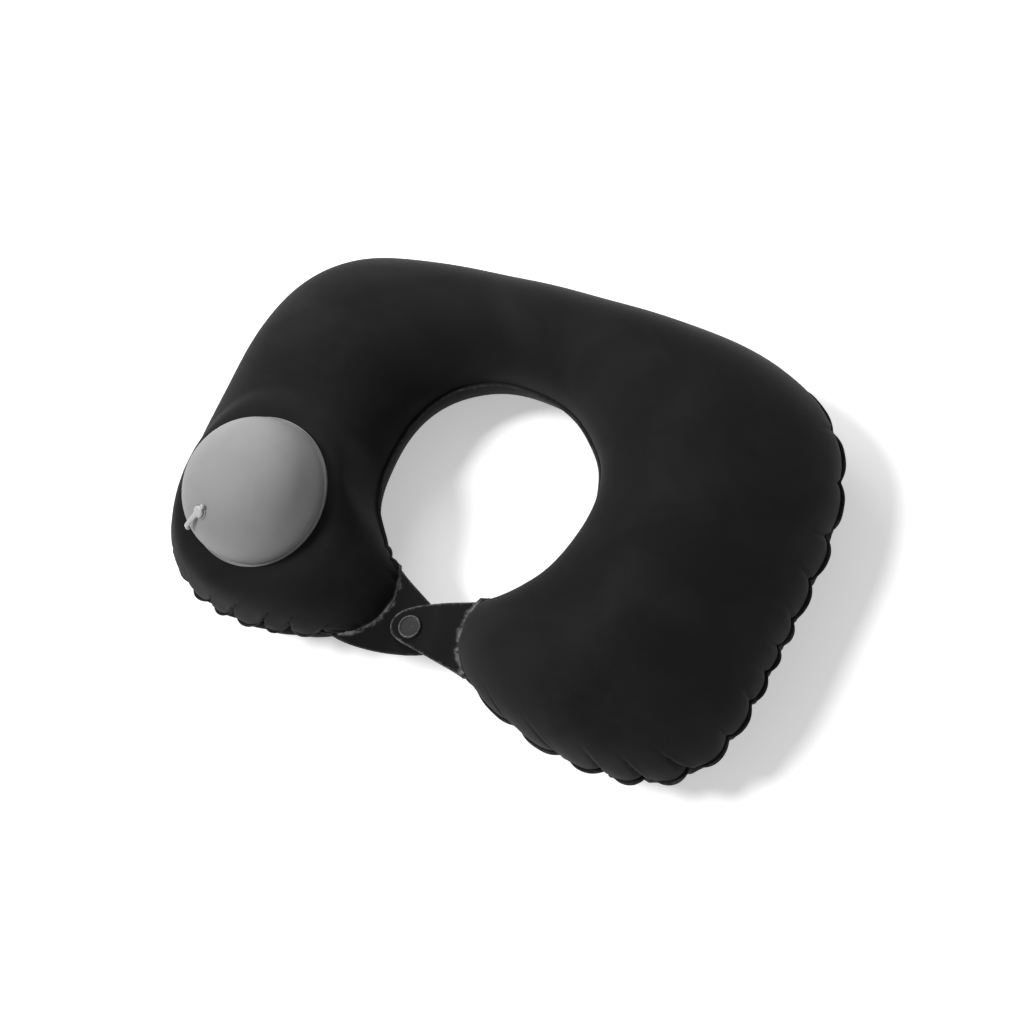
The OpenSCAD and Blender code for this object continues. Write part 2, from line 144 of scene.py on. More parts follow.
class PumpSizes(bpy.types.PropertyGroup):
    """Sizes of the press pump and its intake valve."""

    place: bpy.props.FloatVectorProperty(
        name="Place", description="Pump centre from the neck centre and the weld plane",
        default=(-0.115, -0.062, 0.043), subtype="XYZ_LENGTH")
    lean_front: bpy.props.FloatProperty(
        name="Lean Front", description="Lean of the pump towards the front",
        default=math.radians(11), subtype="ANGLE")
    lean_neck: bpy.props.FloatProperty(
        name="Lean Neck", description="Lean of the pump towards the neck",
        default=math.radians(3), subtype="ANGLE")
    dome_radius: bpy.props.FloatProperty(
        name="Dome Radius", description="Radius of the dome at its foot",
        default=0.0445, unit="LENGTH")
    dome_height: bpy.props.FloatProperty(
        name="Dome Height", description="Height of the dome with its plates",
        default=0.038, unit="LENGTH")
    dome_square: bpy.props.FloatProperty(
        name="Dome Squareness", description="Squareness of the dome's profile",
        default=2.35, subtype="FACTOR")
    dome_wall: bpy.props.FloatProperty(
        name="Dome Wall", description="Wall thickness of the dome",
        default=0.0016, unit="LENGTH")
    flange: bpy.props.FloatProperty(
        name="Dome Flange", description="Width of the flange outside the dome",
        default=0.0016, unit="LENGTH")
    plate: bpy.props.FloatProperty(
        name="Plate", description="Thickness of the flange and of the base plate",
        default=0.0012, unit="LENGTH")
    valve_off: bpy.props.FloatProperty(
        name="Valve Offset", description="Distance of the valve from the dome's axis",
        default=0.026, unit="LENGTH")
    valve_turn: bpy.props.FloatProperty(
        name="Valve Turn", description="Direction of the valve round the dome's axis",
        default=math.radians(247), subtype="ANGLE")
    plug_turn: bpy.props.FloatProperty(
        name="Plug Turn", description="Turn of the plug's tab from straight down the dome",
        default=math.radians(-13), subtype="ANGLE")
    seat_radius: bpy.props.FloatProperty(
        name="Valve Seat Radius", description="Radius of the ring let into the dome",
        default=0.005, unit="LENGTH")
    tab_reach: bpy.props.FloatProperty(
        name="Tab Reach", description="Valve centre to the tip of the pull tab",
        default=0.016, unit="LENGTH")


class StrapSizes(bpy.types.PropertyGroup):
    """Sizes of the two front straps and the snap that joins them."""

    thick: bpy.props.FloatProperty(
        name="Strap Thickness", description="Thickness of a strap, two welded sheets",
        default=0.0016, unit="LENGTH")
    step: bpy.props.FloatProperty(
        name="Strap Step", description="Height by which a strap leaves the weld plane",
        default=0.0019, unit="LENGTH")
    snap: bpy.props.FloatVectorProperty(
        name="Snap", description="Snap centre from the neck centre",
        default=(-0.003, -0.096, 0), subtype="XYZ_LENGTH")
    cap_radius: bpy.props.FloatProperty(
        name="Cap Radius", description="Radius of the snap's cap",
        default=0.0072, unit="LENGTH")
    cap_height: bpy.props.FloatProperty(
        name="Cap Height", description="Height of the snap's cap",
        default=0.0018, unit="LENGTH")


class PillowFinish(bpy.types.PropertyGroup):
    """Colours of the finishes."""

    flock: bpy.props.FloatVectorProperty(
        name="Flock", description="Colour of the flocked sheet",
        default=(0.0068, 0.0068, 0.0072), subtype="COLOR")
    # Also laid on the welded flange of the skin, where it is partly rubbed flock and partly a painted
    # highlight.
    rubbed: bpy.props.FloatVectorProperty(
        name="Rubbed Flock", description="Colour where the flock has been rubbed thin",
        default=(0.19, 0.19, 0.195), subtype="COLOR")
    dome: bpy.props.FloatVectorProperty(
        name="Dome", description="Colour of the moulded dome",
        default=(0.285, 0.285, 0.287), subtype="COLOR")
    plug: bpy.props.FloatVectorProperty(
        name="Plug", description="Colour of the valve's plug",
        default=(0.27, 0.27, 0.27), subtype="COLOR")
    cap: bpy.props.FloatVectorProperty(
        name="Cap", description="Colour of the snap's painted cap",
        default=(0.016, 0.016, 0.017), subtype="COLOR")


class StudioSettings(bpy.types.PropertyGroup):
    """Camera, light and floor."""

    azimuth: bpy.props.FloatProperty(
        name="Azimuth", description="Camera's direction round the pillow from the front",
        default=math.radians(57.86), subtype="ANGLE")
    elevation: bpy.props.FloatProperty(
        name="Elevation", description="Camera's height above the horizon",
        default=math.radians(59.84), subtype="ANGLE")
    roll: bpy.props.FloatProperty(
        name="Roll", description="Camera's turn about its line of sight",
        default=math.radians(34.89), subtype="ANGLE")
    distance: bpy.props.FloatProperty(
        name="Distance", description="Camera to the neck centre",
        default=0.72697, unit="LENGTH")
    lens: bpy.props.FloatProperty(
        name="Lens", description="Focal length on a 36 mm wide sensor",
        default=42.17, unit="CAMERA")
    key_azimuth: bpy.props.FloatProperty(
        name="Key Azimuth", description="Key light's direction round the pillow from the front",
        default=math.radians(-66), subtype="ANGLE")
    key_elevation: bpy.props.FloatProperty(
        name="Key Elevation", description="Key light's height above the horizon",
        default=math.radians(57), subtype="ANGLE")
    key_softness: bpy.props.FloatProperty(
        name="Key Softness", description="Angle that the key light spreads over",
        default=math.radians(13), subtype="ANGLE")
    key_power: bpy.props.FloatProperty(
        name="Key Power", description="Strength of the key light", default=2.1)
    back_power: bpy.props.FloatProperty(
        name="Back Light Power", description="Power of the soft light behind the left shoulder",
        default=1.6, unit="POWER")
    back_place: bpy.props.FloatVectorProperty(
        name="Back Light Place", description="Place of the back light from the neck centre",
        default=(-0.3, 0.3, 0.36), subtype="XYZ_LENGTH")
    glow: bpy.props.FloatProperty(
        name="Floor Glow", description="Light that the backlit floor gives off",
        default=0.42, subtype="FACTOR")
    surround: bpy.props.FloatProperty(
        name="Surround", description="Strength of the even light from all round",
        default=0.3, subtype="FACTOR")
    floor: bpy.props.FloatVectorProperty(
        name="Floor", description="Colour of the floor",
        default=(0.94, 0.94, 0.94), subtype="COLOR")


GROUPS = {
    "neck_pillow_body": PillowSizes,
    "neck_pillow_pump": PumpSizes,
    "neck_pillow_straps": StrapSizes,
    "neck_pillow_finish": PillowFinish,
    "neck_pillow_studio": StudioSettings,
}


# ---- the U's outline ---------------------------------------------------------------
# How far the inflated outline stands out from the even one, or in where negative:
# degrees from the front, millimetres.
RIM_UNEVEN = [(0, -3), (20, -4.5), (24, -3), (30, 0.2), (45, 0.8), (55, 1.2), (66, -1.5),
              (76, -2), (84, 0), (93, 3), (102, 2.2), (112, 1), (129, 1.6), (150, 3.4), (180, 4),
              (205, 2), (220, 1), (235, 2.8), (255, 4), (268, 1.6), (284, -3.6), (293, -5),
              (300, -3), (308, 1.6), (316, 5), (325, 4.4), (333, 3), (340, 1.6), (360, 0)]
NECK_UNEVEN = [(0, 0), (30, 0), (46, -1.8), (60, -3.2), (74, -3), (90, -1), (115, -1.5),
               (137, -4.2), (155, -1.8), (175, 0), (190, 1.5), (205, 2.5), (225, 2), (245, 0.5),
               (270, -0.6), (290, -1.6), (305, -3), (315, -4.4), (325, -3), (335, 0), (360, 0)]


def power_radius(angle, half_w, half_d, square):
    across = np.abs(np.sin(angle)) / half_w
    along = np.abs(np.cos(angle)) / half_d
    return (across ** square + along ** square) ** (-1 / square)


def on_ray(angle, radius):
    return np.stack([radius * np.sin(angle), -radius * np.cos(angle)], axis=-1)


def rim_point(p, angle):
    front = np.minimum(angle, TAU - angle)
    back = front > math.pi / 2
    radius = power_radius(angle, p.width / 2, np.where(back, p.back_depth, p.front_depth),
                          np.where(back, p.back_square, p.front_square))
    pull = 1 - p.front_pull * np.maximum(0, 1 - front / p.pull_angle) ** 2
    return on_ray(angle, pull * radius)


def neck_point(p, angle):
    back = np.minimum(angle, TAU - angle) > math.pi / 2
    depth = np.where(back, p.neck_back, p.neck_front)
    return on_ray(angle, power_radius(angle, p.neck_half, depth, p.neck_square))


def uneven(table, angle):
    """Offset in metres at an angle from the front, out of a table in degrees and mm."""
    places, offsets = np.array(table).T
    degrees = np.degrees(angle)
    steps = np.arange(-3, 4)
    return MM * sum(np.interp(degrees + 2.5 * k, places, offsets) for k in steps) / len(steps)


def rim_angle(p, share):
    return p.rim_end + (TAU - 2 * p.rim_end) * share


def rim_at(p, share):
    angle = rim_angle(p, share)
    return rim_point(p, angle) + on_ray(angle, uneven(RIM_UNEVEN, angle))


def neck_at(p, share):
    angle = p.neck_end + (TAU - 2 * p.neck_end) * share
    return neck_point(p, angle) + on_ray(angle, uneven(NECK_UNEVEN, angle))


def u_length(p):
    share = np.linspace(0, 1, 41)
    middle = (rim_at(p, share) + neck_at(p, share)) / 2
    return float(np.linalg.norm(np.diff(middle, axis=0), axis=1).sum())


def end_normal(p, side):
    """Which way a lobe's end faces in plan, side 0 being +X."""
    chord = rim_at(p, np.array(float(side))) - neck_at(p, np.array(float(side)))
    across = np.array([chord[1], -chord[0]]) / np.linalg.norm(chord)
    return across if side == 0 else -across


def plan_point(p, share, across):
    """Point of the U in plan: share along it and across it from the neck to the rim."""
    distance = u_length(p) * np.minimum(share, 1 - share)
    reach = np.where(share < 0.5, p.end_bulge, p.end_bulge + 4 * MM)
    bulge = reach * np.maximum(0, 1 - distance / (1.2 * p.end_round)) ** 2
    normal = np.where((share < 0.5)[..., None], end_normal(p, 0), end_normal(p, 1))
    out = (bulge * 4 * across * (1 - across))[..., None] * normal
    return (neck_at(p, share) * (1 - across)[..., None]
            + rim_at(p, share) * across[..., None] + out)


def half_thickness(p, share):
    distance = u_length(p) * np.minimum(share, 1 - share)
    back = np.maximum(0, -np.cos(TAU * share)) ** 1.5
    reach = np.minimum(1, distance / p.end_round)
    full = (p.back_thick * back + p.lobe_thick * (1 - back)) / 2
    return full * np.sqrt(1 - (1 - reach) ** 2) * reach ** p.end_slack


def smooth(x):
    x = np.clip(x, 0, 1)
    return x * x * (3 - 2 * x)


def neck_centre():
    """Neck centre at the weld plane, in the frame."""
    p = bpy.context.scene.neck_pillow_body
    return Vector((0, PANEL_HIGH.y - p.back_depth, PANEL_LOW.z))


# ---- pump and valve frames -----------------------------------------------------------
def pump_matrix():
    """From the pump's own axes, with Z its press axis, to the frame."""
    q = bpy.context.scene.neck_pillow_pump
    place = Matrix.Translation(neck_centre() + Vector(q.place))
    return place @ Matrix.Rotation(q.lean_neck, 4, "Y") @ Matrix.Rotation(q.lean_front, 4, "X")


def dome_profile_height(q, x):
    """Height of the dome's outer face over its flange's foot, at x from the axis."""
    height = q.dome_height - q.plate
    return height * (1 - min(1, x / q.dome_radius) ** q.dome_square) ** (1 / q.dome_square)


def valve_matrix():
    """From the valve's axes, with Z out of the dome and X down its slope, to the frame."""
    q = bpy.context.scene.neck_pillow_pump
    height = dome_profile_height(q, q.valve_off)
    full = q.dome_height - q.plate
    tilt = math.atan2((q.valve_off / q.dome_radius) ** (q.dome_square - 1) / q.dome_radius,
                      (height / full) ** (q.dome_square - 1) / full)
    return (pump_matrix() @ Matrix.Translation((0, 0, q.plate))
            @ Matrix.Rotation(q.valve_turn, 4, "Z")
            @ Matrix.Translation((q.valve_off, 0, height))
            @ Matrix.Rotation(tilt, 4, "Y") @ Matrix.Rotation(q.plug_turn, 4, "Z"))


# ---- mesh helpers ----------------------------------------------------------------------
def make_object(name, points, faces, material, attributes=None, flat=False):
    """A mesh object of its own, with smooth faces and named values on its points."""
    mesh = bpy.data.meshes.new(name)
    mesh.from_pydata([tuple(point) for point in points], [], faces)
    for key, values in (attributes or {}).items():
        layer = mesh.attributes.new(key, "FLOAT", "POINT")
        layer.data.foreach_set("value", np.asarray(values, np.float32))
    work = bmesh.new()
    work.from_mesh(mesh)
    bmesh.ops.recalc_face_normals(work, faces=work.faces)
    for face in work.faces:
        face.smooth = not flat
    work.to_mesh(mesh)
    work.free()
    mesh.materials.append(material)
    piece = bpy.data.objects.new(name, mesh)
    bpy.context.scene.collection.objects.link(piece)
    return piece


def lathe(profile, matrix, segments):
    """Points and faces of a closed turned shape. The profile runs (radius, height), and
    a point on the axis becomes one pole."""
    points, rings = [], []
    for radius, height in profile:
        if radius < 1e-9:
            rings.append([len(points)])
            points.append(matrix @ Vector((0, 0, height)))
        else:
            rings.append(list(range(len(points), len(points) + segments)))
            points += [matrix @ Vector((radius * math.cos(TAU * i / segments),
                                        radius * math.sin(TAU * i / segments), height))
                       for i in range(segments)]
    faces = []
    pairs = list(zip(rings, rings[1:]))
    if len(rings[0]) > 1:
        pairs.append((rings[-1], rings[0]))
    for low, high in pairs:
        for i in range(segments):
            k = (i + 1) % segments
            quad = [low[i % len(low)], low[k % len(low)], high[k % len(high)], high[i % len(high)]]
            corners = list(dict.fromkeys(quad))
            if len(corners) > 2:
                faces.append(corners)
    return points, faces


def rounded(profile, radius, steps=4):
    """A profile with its inner corners rounded by up to radius."""
    line = [Vector(point) for point in profile]
    out = [line[0]]
    for before, corner, after in zip(line, line[1:], line[2:]):
        a, b = before - corner, after - corner
        reach = min(radius, a.length * 0.45, b.length * 0.45)
        start, end = corner + a.normalized() * reach, corner + b.normalized() * reach
        for i in range(steps + 1):
            t = i / steps
            out.append(start * (1 - t) ** 2 + corner * 2 * t * (1 - t) + end * t * t)
    return [tuple(point) for point in out + [line[-1]]]


def smooth_curve(points, steps, closed=False):
    """A Catmull-Rom curve through points, with steps spans between each two."""
    line = [np.array(point, float) for point in points]
    count = len(line)
    out = []
    for i in range(count if closed else count - 1):
        if closed:
            a, b, c, d = (line[(i + k) % count] for k in (-1, 0, 1, 2))
        else:
            a, b, c, d = (line[min(max(i + k, 0), count - 1)] for k in (-1, 0, 1, 2))
        for j in range(steps):
            t = j / steps
            out.append(0.5 * (2 * b + (c - a) * t + (2 * a - 5 * b + 4 * c - d) * t * t
                              + (3 * b - a - 3 * c + d) * t ** 3))
    if not closed:
        out.append(line[-1])
    return np.array(out)


# ---- materials -----------------------------------------------------------------------
def add_node(tree, kind, settings=None, **inputs):
    """A shader node with its settings and its unlinked or linked inputs."""
    node = tree.nodes.new(kind)
    for key, value in (settings or {}).items():
        setattr(node, key, value)
    for key, value in inputs.items():
        socket = node.inputs[int(key[1:]) if key[0] == "i" and key[1:].isdigit()
                             else key.replace("_", " ")]
        if isinstance(value, bpy.types.NodeSocket):
            tree.links.new(value, socket)
        else:
            socket.default_value = value
    return node


def new_group(name, inputs, outputs):
    """A shader node group with named sockets: (name, kind, default)."""
    group = bpy.data.node_groups.new(name, "ShaderNodeTree")
    for socket_name, kind, default in inputs:
        socket = group.interface.new_socket(socket_name, in_out="INPUT",
                                            socket_type="NodeSocket" + kind)
        socket.default_value = default
    for socket_name, kind in outputs:
        group.interface.new_socket(socket_name, in_out="OUTPUT",
                                   socket_type="NodeSocket" + kind)
    return group, group.nodes.new("NodeGroupInput"), group.nodes.new("NodeGroupOutput")


def rgba(colour, scale=1.0):
    return tuple(c * scale for c in colour[:3]) + (1.0,)


def noise(tree, place, scale, detail=2.0, rough=0.5, distortion=0.0):
    return add_node(tree, "ShaderNodeTexNoise", Vector=place, Scale=scale, Detail=detail,
                    Roughness=rough, Distortion=distortion).outputs["Fac"]


def remap(tree, value, low, high, to_low=0.0, to_high=1.0):
    node = add_node(tree, "ShaderNodeMapRange", Value=value)
    for key, number in (("From Min", low), ("From Max", high), ("To Min", to_low),
                        ("To Max", to_high)):
        node.inputs[key].default_value = number
    return node.outputs["Result"]


def math_node(tree, operation, a, b=0.5):
    return add_node(tree, "ShaderNodeMath", {"operation": operation}, i0=a, i1=b).outputs[0]


def mix_colour(tree, factor, a, b):
    node = add_node(tree, "ShaderNodeMix", {"data_type": "RGBA"})
    for index, value in ((0, factor), (6, a), (7, b)):
        if isinstance(value, bpy.types.NodeSocket):
            tree.links.new(value, node.inputs[index])
        else:
            node.inputs[index].default_value = value
    return node.outputs[2]


def flock_group():
    """Short dense fibres: a brushed, patchy colour and a fine nap."""
    found = bpy.data.node_groups.get("flock_nap")
    if found:
        return found
    tree, given, out = new_group(
        "flock_nap",
        [("Deep", "Color", (0.01, 0.01, 0.01, 1)), ("Brushed", "Color", (0.03, 0.03, 0.03, 1)),
         ("Patch Scale", "Float", 16.0), ("Nap Scale", "Float", 1900.0)],
        [("Color", "Color"), ("Roughness", "Float"), ("Height", "Float")])
    place = add_node(tree, "ShaderNodeTexCoord").outputs["Object"]
    cloud = noise(tree, place, given.outputs["Patch Scale"], 3.0, 0.55, 0.6)
    streak_place = add_node(tree, "ShaderNodeMapping", Vector=place)
    streak_place.inputs["Scale"].default_value = (1.0, 3.2, 1.6)
    streak_place.inputs["Rotation"].default_value = (0.0, 0.0, 0.7)
    streak = noise(tree, streak_place.outputs[0], 55.0, 4.0, 0.6, 0.4)
    nap = noise(tree, place, given.outputs["Nap Scale"], 2.0, 0.7)
    tuft = noise(tree, place, 420.0, 3.0, 0.65)
    brushed = math_node(tree, "ADD", math_node(tree, "MULTIPLY", remap(tree, cloud, 0.38, 0.7), 0.7),
                        math_node(tree, "MULTIPLY", remap(tree, streak, 0.45, 0.75), 0.22))
    speckle = math_node(tree, "MULTIPLY", remap(tree, nap, 0.3, 0.75), 0.3)
    amount = math_node(tree, "ADD", brushed, speckle)
    tree.links.new(mix_colour(tree, amount, given.outputs["Deep"], given.outputs["Brushed"]),
                   out.inputs["Color"])
    tree.links.new(remap(tree, streak, 0.3, 0.7, 0.86, 1.0), out.inputs["Roughness"])
    height = math_node(tree, "ADD", math_node(tree, "MULTIPLY", nap, 0.55),
                       math_node(tree, "MULTIPLY", tuft, 0.45))
    tree.links.new(height, out.inputs["Height"])
    return tree


def moulded_group():
    """Matt moulded plastic: faint flow marks, fine grain and dust."""
    found = bpy.data.node_groups.get("moulded_grain")
    if found:
        return found
    tree, given, out = new_group(
        "moulded_grain",
        [("Base", "Color", (0.3, 0.3, 0.3, 1)), ("Pale", "Color", (0.34, 0.34, 0.34, 1)),
         ("Flow Scale", "Float", 30.0), ("Grain Scale", "Float", 2200.0),
         ("Smooth", "Float", 0.42), ("Rough", "Float", 0.56)],
        [("Color", "Color"), ("Roughness", "Float"), ("Height", "Float")])
    place = add_node(tree, "ShaderNodeTexCoord").outputs["Object"]
    flow = noise(tree, place, given.outputs["Flow Scale"], 4.0, 0.6, 1.2)
    grain = noise(tree, place, given.outputs["Grain Scale"], 2.0, 0.6)
    dust = remap(tree, noise(tree, place, 900.0, 1.0, 0.5), 0.66, 0.74)
    amount = math_node(tree, "ADD", math_node(tree, "MULTIPLY", remap(tree, flow, 0.35, 0.7), 0.6),
                       math_node(tree, "MULTIPLY", remap(tree, grain, 0.3, 0.7), 0.25))
    amount = math_node(tree, "ADD", amount, math_node(tree, "MULTIPLY", dust, 0.35))
    tree.links.new(mix_colour(tree, amount, given.outputs["Base"], given.outputs["Pale"]),
                   out.inputs["Color"])
    level = remap(tree, flow, 0.3, 0.7)
    span = math_node(tree, "SUBTRACT", given.outputs["Rough"], given.outputs["Smooth"])
    tree.links.new(math_node(tree, "ADD", given.outputs["Smooth"],
                             math_node(tree, "MULTIPLY", level, span)), out.inputs["Roughness"])
    tree.links.new(math_node(tree, "ADD", math_node(tree, "MULTIPLY", grain, 0.7),
                             math_node(tree, "MULTIPLY", flow, 0.6)), out.inputs["Height"])
    return tree


def new_material(name):
    material = bpy.data.materials.new(name)
    material.use_nodes = True
    tree = material.node_tree
    tree.nodes.clear()
    shader = tree.nodes.new("ShaderNodeBsdfPrincipled")
    output = tree.nodes.new("ShaderNodeOutputMaterial")
    tree.links.new(shader.outputs[0], output.inputs[0])
    return material, tree, shader


def place_group(tree, group, **values):
    node = tree.nodes.new("ShaderNodeGroup")
    node.node_tree = group
    for key, value in values.items():
        node.inputs[key.replace("_", " ")].default_value = value
    return node


def wire(tree, shader, **sockets):
    for key, value in sockets.items():
        tree.links.new(value, shader.inputs[key.replace("_", " ")])


def bump(tree, height, strength, distance, normal=None):
    node = add_node(tree, "ShaderNodeBump", Height=height, Strength=strength, Distance=distance)
    if normal is not None:
        tree.links.new(normal, node.inputs["Normal"])
    return node.outputs["Normal"]


def flock_material(name, tint, nap_bump):
    """Flocked sheet, rubbed pale along the weld lines and bare at cut edges. The same pale colour on
    the welded flange is partly rubbed flock and partly a painted highlight.
    """
    found = bpy.data.materials.get(name)
    if found:
        return found
    finish = bpy.context.scene.neck_pillow_finish
    material, tree, shader = new_material(name)
    nap = place_group(tree, flock_group(), Deep=rgba(finish.flock, tint),
                      Brushed=rgba(finish.flock, 2.3 * tint))
    # Pale mask: real wear at the welds and cut edges, and a painted highlight along the welded flange
    # of the skin.
    wear_and_painted_highlight = add_node(tree, "ShaderNodeAttribute", {"attribute_name": "wear_and_painted_highlight"}).outputs["Fac"]
    place = add_node(tree, "ShaderNodeTexCoord").outputs["Object"]
    broken = remap(tree, noise(tree, place, 260.0, 3.0, 0.6, 0.8), 0.36, 0.62, 0.16, 1.0)
    amount = math_node(tree, "MULTIPLY", wear_and_painted_highlight, broken)
    colour = mix_colour(tree, amount, nap.outputs["Color"], rgba(finish.rubbed))
    wire(tree, shader, Base_Color=colour, Roughness=nap.outputs["Roughness"],
         Normal=bump(tree, nap.outputs["Height"], 0.6, nap_bump))
    shader.inputs["Specular IOR Level"].default_value = 0.12
    shader.inputs["Sheen Weight"].default_value = 0.1
    shader.inputs["Sheen Roughness"].default_value = 0.45
    shader.inputs["Sheen Tint"].default_value = (0.8, 0.8, 0.82, 1)
    return material


def moulded_material(name, colour, smooth_level=0.58, rough_level=0.7, depth=0.00004):
    found = bpy.data.materials.get(name)
    if found:
        return found
    material, tree, shader = new_material(name)
    grain = place_group(tree, moulded_group(), Base=rgba(colour), Pale=rgba(colour, 1.14),
                        Smooth=smooth_level, Rough=rough_level)
    wire(tree, shader, Base_Color=grain.outputs["Color"], Roughness=grain.outputs["Roughness"],
         Normal=bump(tree, grain.outputs["Height"], 0.5, depth))
    shader.inputs["Specular IOR Level"].default_value = 0.3
    return material


def painted_metal(name, colour, bare):
    """Dark paint over metal, rubbed through to the metal along raised edges."""
    found = bpy.data.materials.get(name)
    if found:
        return found
    material, tree, shader = new_material(name)
    shader.inputs["Specular IOR Level"].default_value = 0.25
    grain = place_group(tree, moulded_group(), Base=rgba(colour), Pale=rgba(colour, 1.5),
                        Smooth=0.5, Rough=0.62)
    wear_and_painted_highlight = add_node(tree, "ShaderNodeAttribute", {"attribute_name": "wear_and_painted_highlight"}).outputs["Fac"]
    place = add_node(tree, "ShaderNodeTexCoord").outputs["Object"]
    chips = remap(tree, noise(tree, place, 1500.0, 4.0, 0.65), 0.42, 0.6)
    scuff = remap(tree, noise(tree, place, 300.0, 5.0, 0.7, 1.5), 0.58, 0.75, 0.0, 0.35)
    amount = math_node(tree, "MAXIMUM", math_node(tree, "MULTIPLY", wear_and_painted_highlight, chips),
                       math_node(tree, "MULTIPLY", scuff, 0.5))
    colour_out = mix_colour(tree, amount, grain.outputs["Color"], rgba(bare))
    wire(tree, shader, Base_Color=colour_out, Roughness=grain.outputs["Roughness"],
         Metallic=remap(tree, amount, 0.3, 0.9, 0.0, 0.9),
         Normal=bump(tree, grain.outputs["Height"], 0.35, 0.00003))
    return material


def steel_material():
    """Pressed steel with fine drawn lines."""
    found = bpy.data.materials.get("pressed_steel")
    if found:
        return found
    material, tree, shader = new_material("pressed_steel")
    place = add_node(tree, "ShaderNodeTexCoord").outputs["Object"]
    drawn = add_node(tree, "ShaderNodeMapping", Vector=place)
    drawn.inputs["Scale"].default_value = (1.0, 1.0, 9.0)
    lines = noise(tree, drawn.outputs[0], 900.0, 4.0, 0.6)
    stain = noise(tree, place, 140.0, 3.0, 0.6)
    wire(tree, shader,
         Base_Color=mix_colour(tree, remap(tree, stain, 0.4, 0.7), (0.5, 0.5, 0.51, 1),
                               (0.38, 0.37, 0.36, 1)),
         Roughness=remap(tree, lines, 0.3, 0.7, 0.22, 0.4),
         Normal=bump(tree, lines, 0.3, 0.00002))
    shader.inputs["Metallic"].default_value = 1.0
    return material


# ---- the inflated skin -----------------------------------------------------------------
# Notches where the rim is drawn in: angle from the front, depth in millimetres.
RIGHT_NOTCHES = [(23, 2.6), (33, 3.4), (41, 4.0), (47, 4.4), (52.5, 5.0), (59, 4.6), (66, 2.8),
                 (72, 3.0), (77, 2.6), (81.5, 2.8), (86, 2.4), (93, 3.4), (101, 4.8), (110, 2.6),
                 (119, 2.0), (129, 1.2)]
LEFT_NOTCHES = [(25, 3.0), (31, 4.6), (36, 5.4), (41.5, 5.6), (46, 4.4), (51, 4.0), (59, 3.8),
                (68, 2.6), (77, 2.8), (86, 3.2), (96, 3.8), (106, 3.0), (117, 2.4), (128, 1.4)]
NECK_NOTCHES = [(29, 1.2), (38, 0.8), (322, 1.2), (329, 1.6)]
NOTCH_REACH = 13 * MM
COLUMN_STEP = 1.25 * MM
ROWS = 58
ROW_CROWD = 0.42
SETTLE_FRAMES = 20
SETTLE_CAP = 3.5 * MM


def column_shares(p):
    """Shares along the U, evenly spaced on the rim and crowded at the lobes' ends."""
    share = np.linspace(0, 1, 4001)
    arc = np.concatenate([[0], np.cumsum(np.linalg.norm(np.diff(rim_at(p, share), axis=0),
                                                        axis=1))])
    count = int(arc[-1] / COLUMN_STEP)
    even = np.interp(np.linspace(0, arc[-1], count), arc, share)
    crowd = p.end_round / u_length(p) * (1 - np.cos(np.radians(np.arange(0, 30, 1.1))))
    middle = even[(even > crowd[-1]) & (even < 1 - crowd[-1])]
    shares = np.concatenate([crowd, middle, 1 - crowd[::-1]])
    return shares, np.interp(shares, share, arc)


def seat_plane(points):
    """Height of the pump's seat plane over the weld plane, under plan points."""
    q = bpy.context.scene.neck_pillow_pump
    normal = pump_matrix().to_3x3() @ Vector((0, 0, 1))
    away = points - np.array(q.place[:2])
    return q.place[2] - (away[..., 0] * normal.x + away[..., 1] * normal.y) / normal.z


def seat_pull(points, edge):
    q = bpy.context.scene.neck_pillow_pump
    plate = q.dome_radius + q.flange
    flat, blend = plate + 3 * MM, plate + 24 * MM
    radius = np.linalg.norm(points - np.array(q.place[:2]), axis=-1)
    return smooth((blend - radius) / (blend - flat)) * smooth(edge / (8 * MM))


def soft_limit(height, limit, ease):
    """height, eased to stay at or below limit."""
    over = np.clip((height - limit + ease) / (2 * ease), 0, 1)
    return np.where(height > limit - ease, np.minimum(height, limit) * (1 - over)
                    + limit * over - ease * over * (1 - over), height)


def sheet_points(p, shares, upper):
    """One inflated sheet between its rims, columns by rows by 3."""
    t = np.linspace(0, 1, ROWS)
    turn = math.pi * (t - ROW_CROWD * np.sin(TAU * t) / TAU)
    width = np.linalg.norm(rim_at(p, shares) - neck_at(p, shares), axis=1)
    edge = (p.flange / width)[:, None]
    across = edge + (1 - 2 * edge) * (0.5 - 0.5 * np.cos(turn))[None, :]
    share = np.repeat(shares[:, None], ROWS, axis=1)
    plan = plan_point(p, share, across)
    height = half_thickness(p, share) * np.sin(turn)[None, :]
    if upper:
        held = seat_plane(plan) - 0.2 * MM
        w = seat_pull(plan, width[:, None] * np.minimum(across, 1 - across))
        height = height * (1 - w) + held * w
    else:
        floor = PANEL_LOW.z - LOWER_LOW.z - p.flange_thick / 2
        height = -soft_limit(height, floor, 6 * MM)
    return np.concatenate([plan, height[..., None]], axis=2)


def notch_list(pairs, arc_of, seed):
    """Notches in order along an edge: place, depth, reach inwards and slant."""
    dice = np.random.default_rng(seed)
    rows = []
    for angle, depth in pairs:
        rows.append((arc_of(angle), depth * MM * dice.uniform(0.9, 1.1),
                     dice.uniform(17, 24) * MM + 2.2 * depth * MM, dice.uniform(-0.1, 0.6)))
    return np.array(sorted(rows))


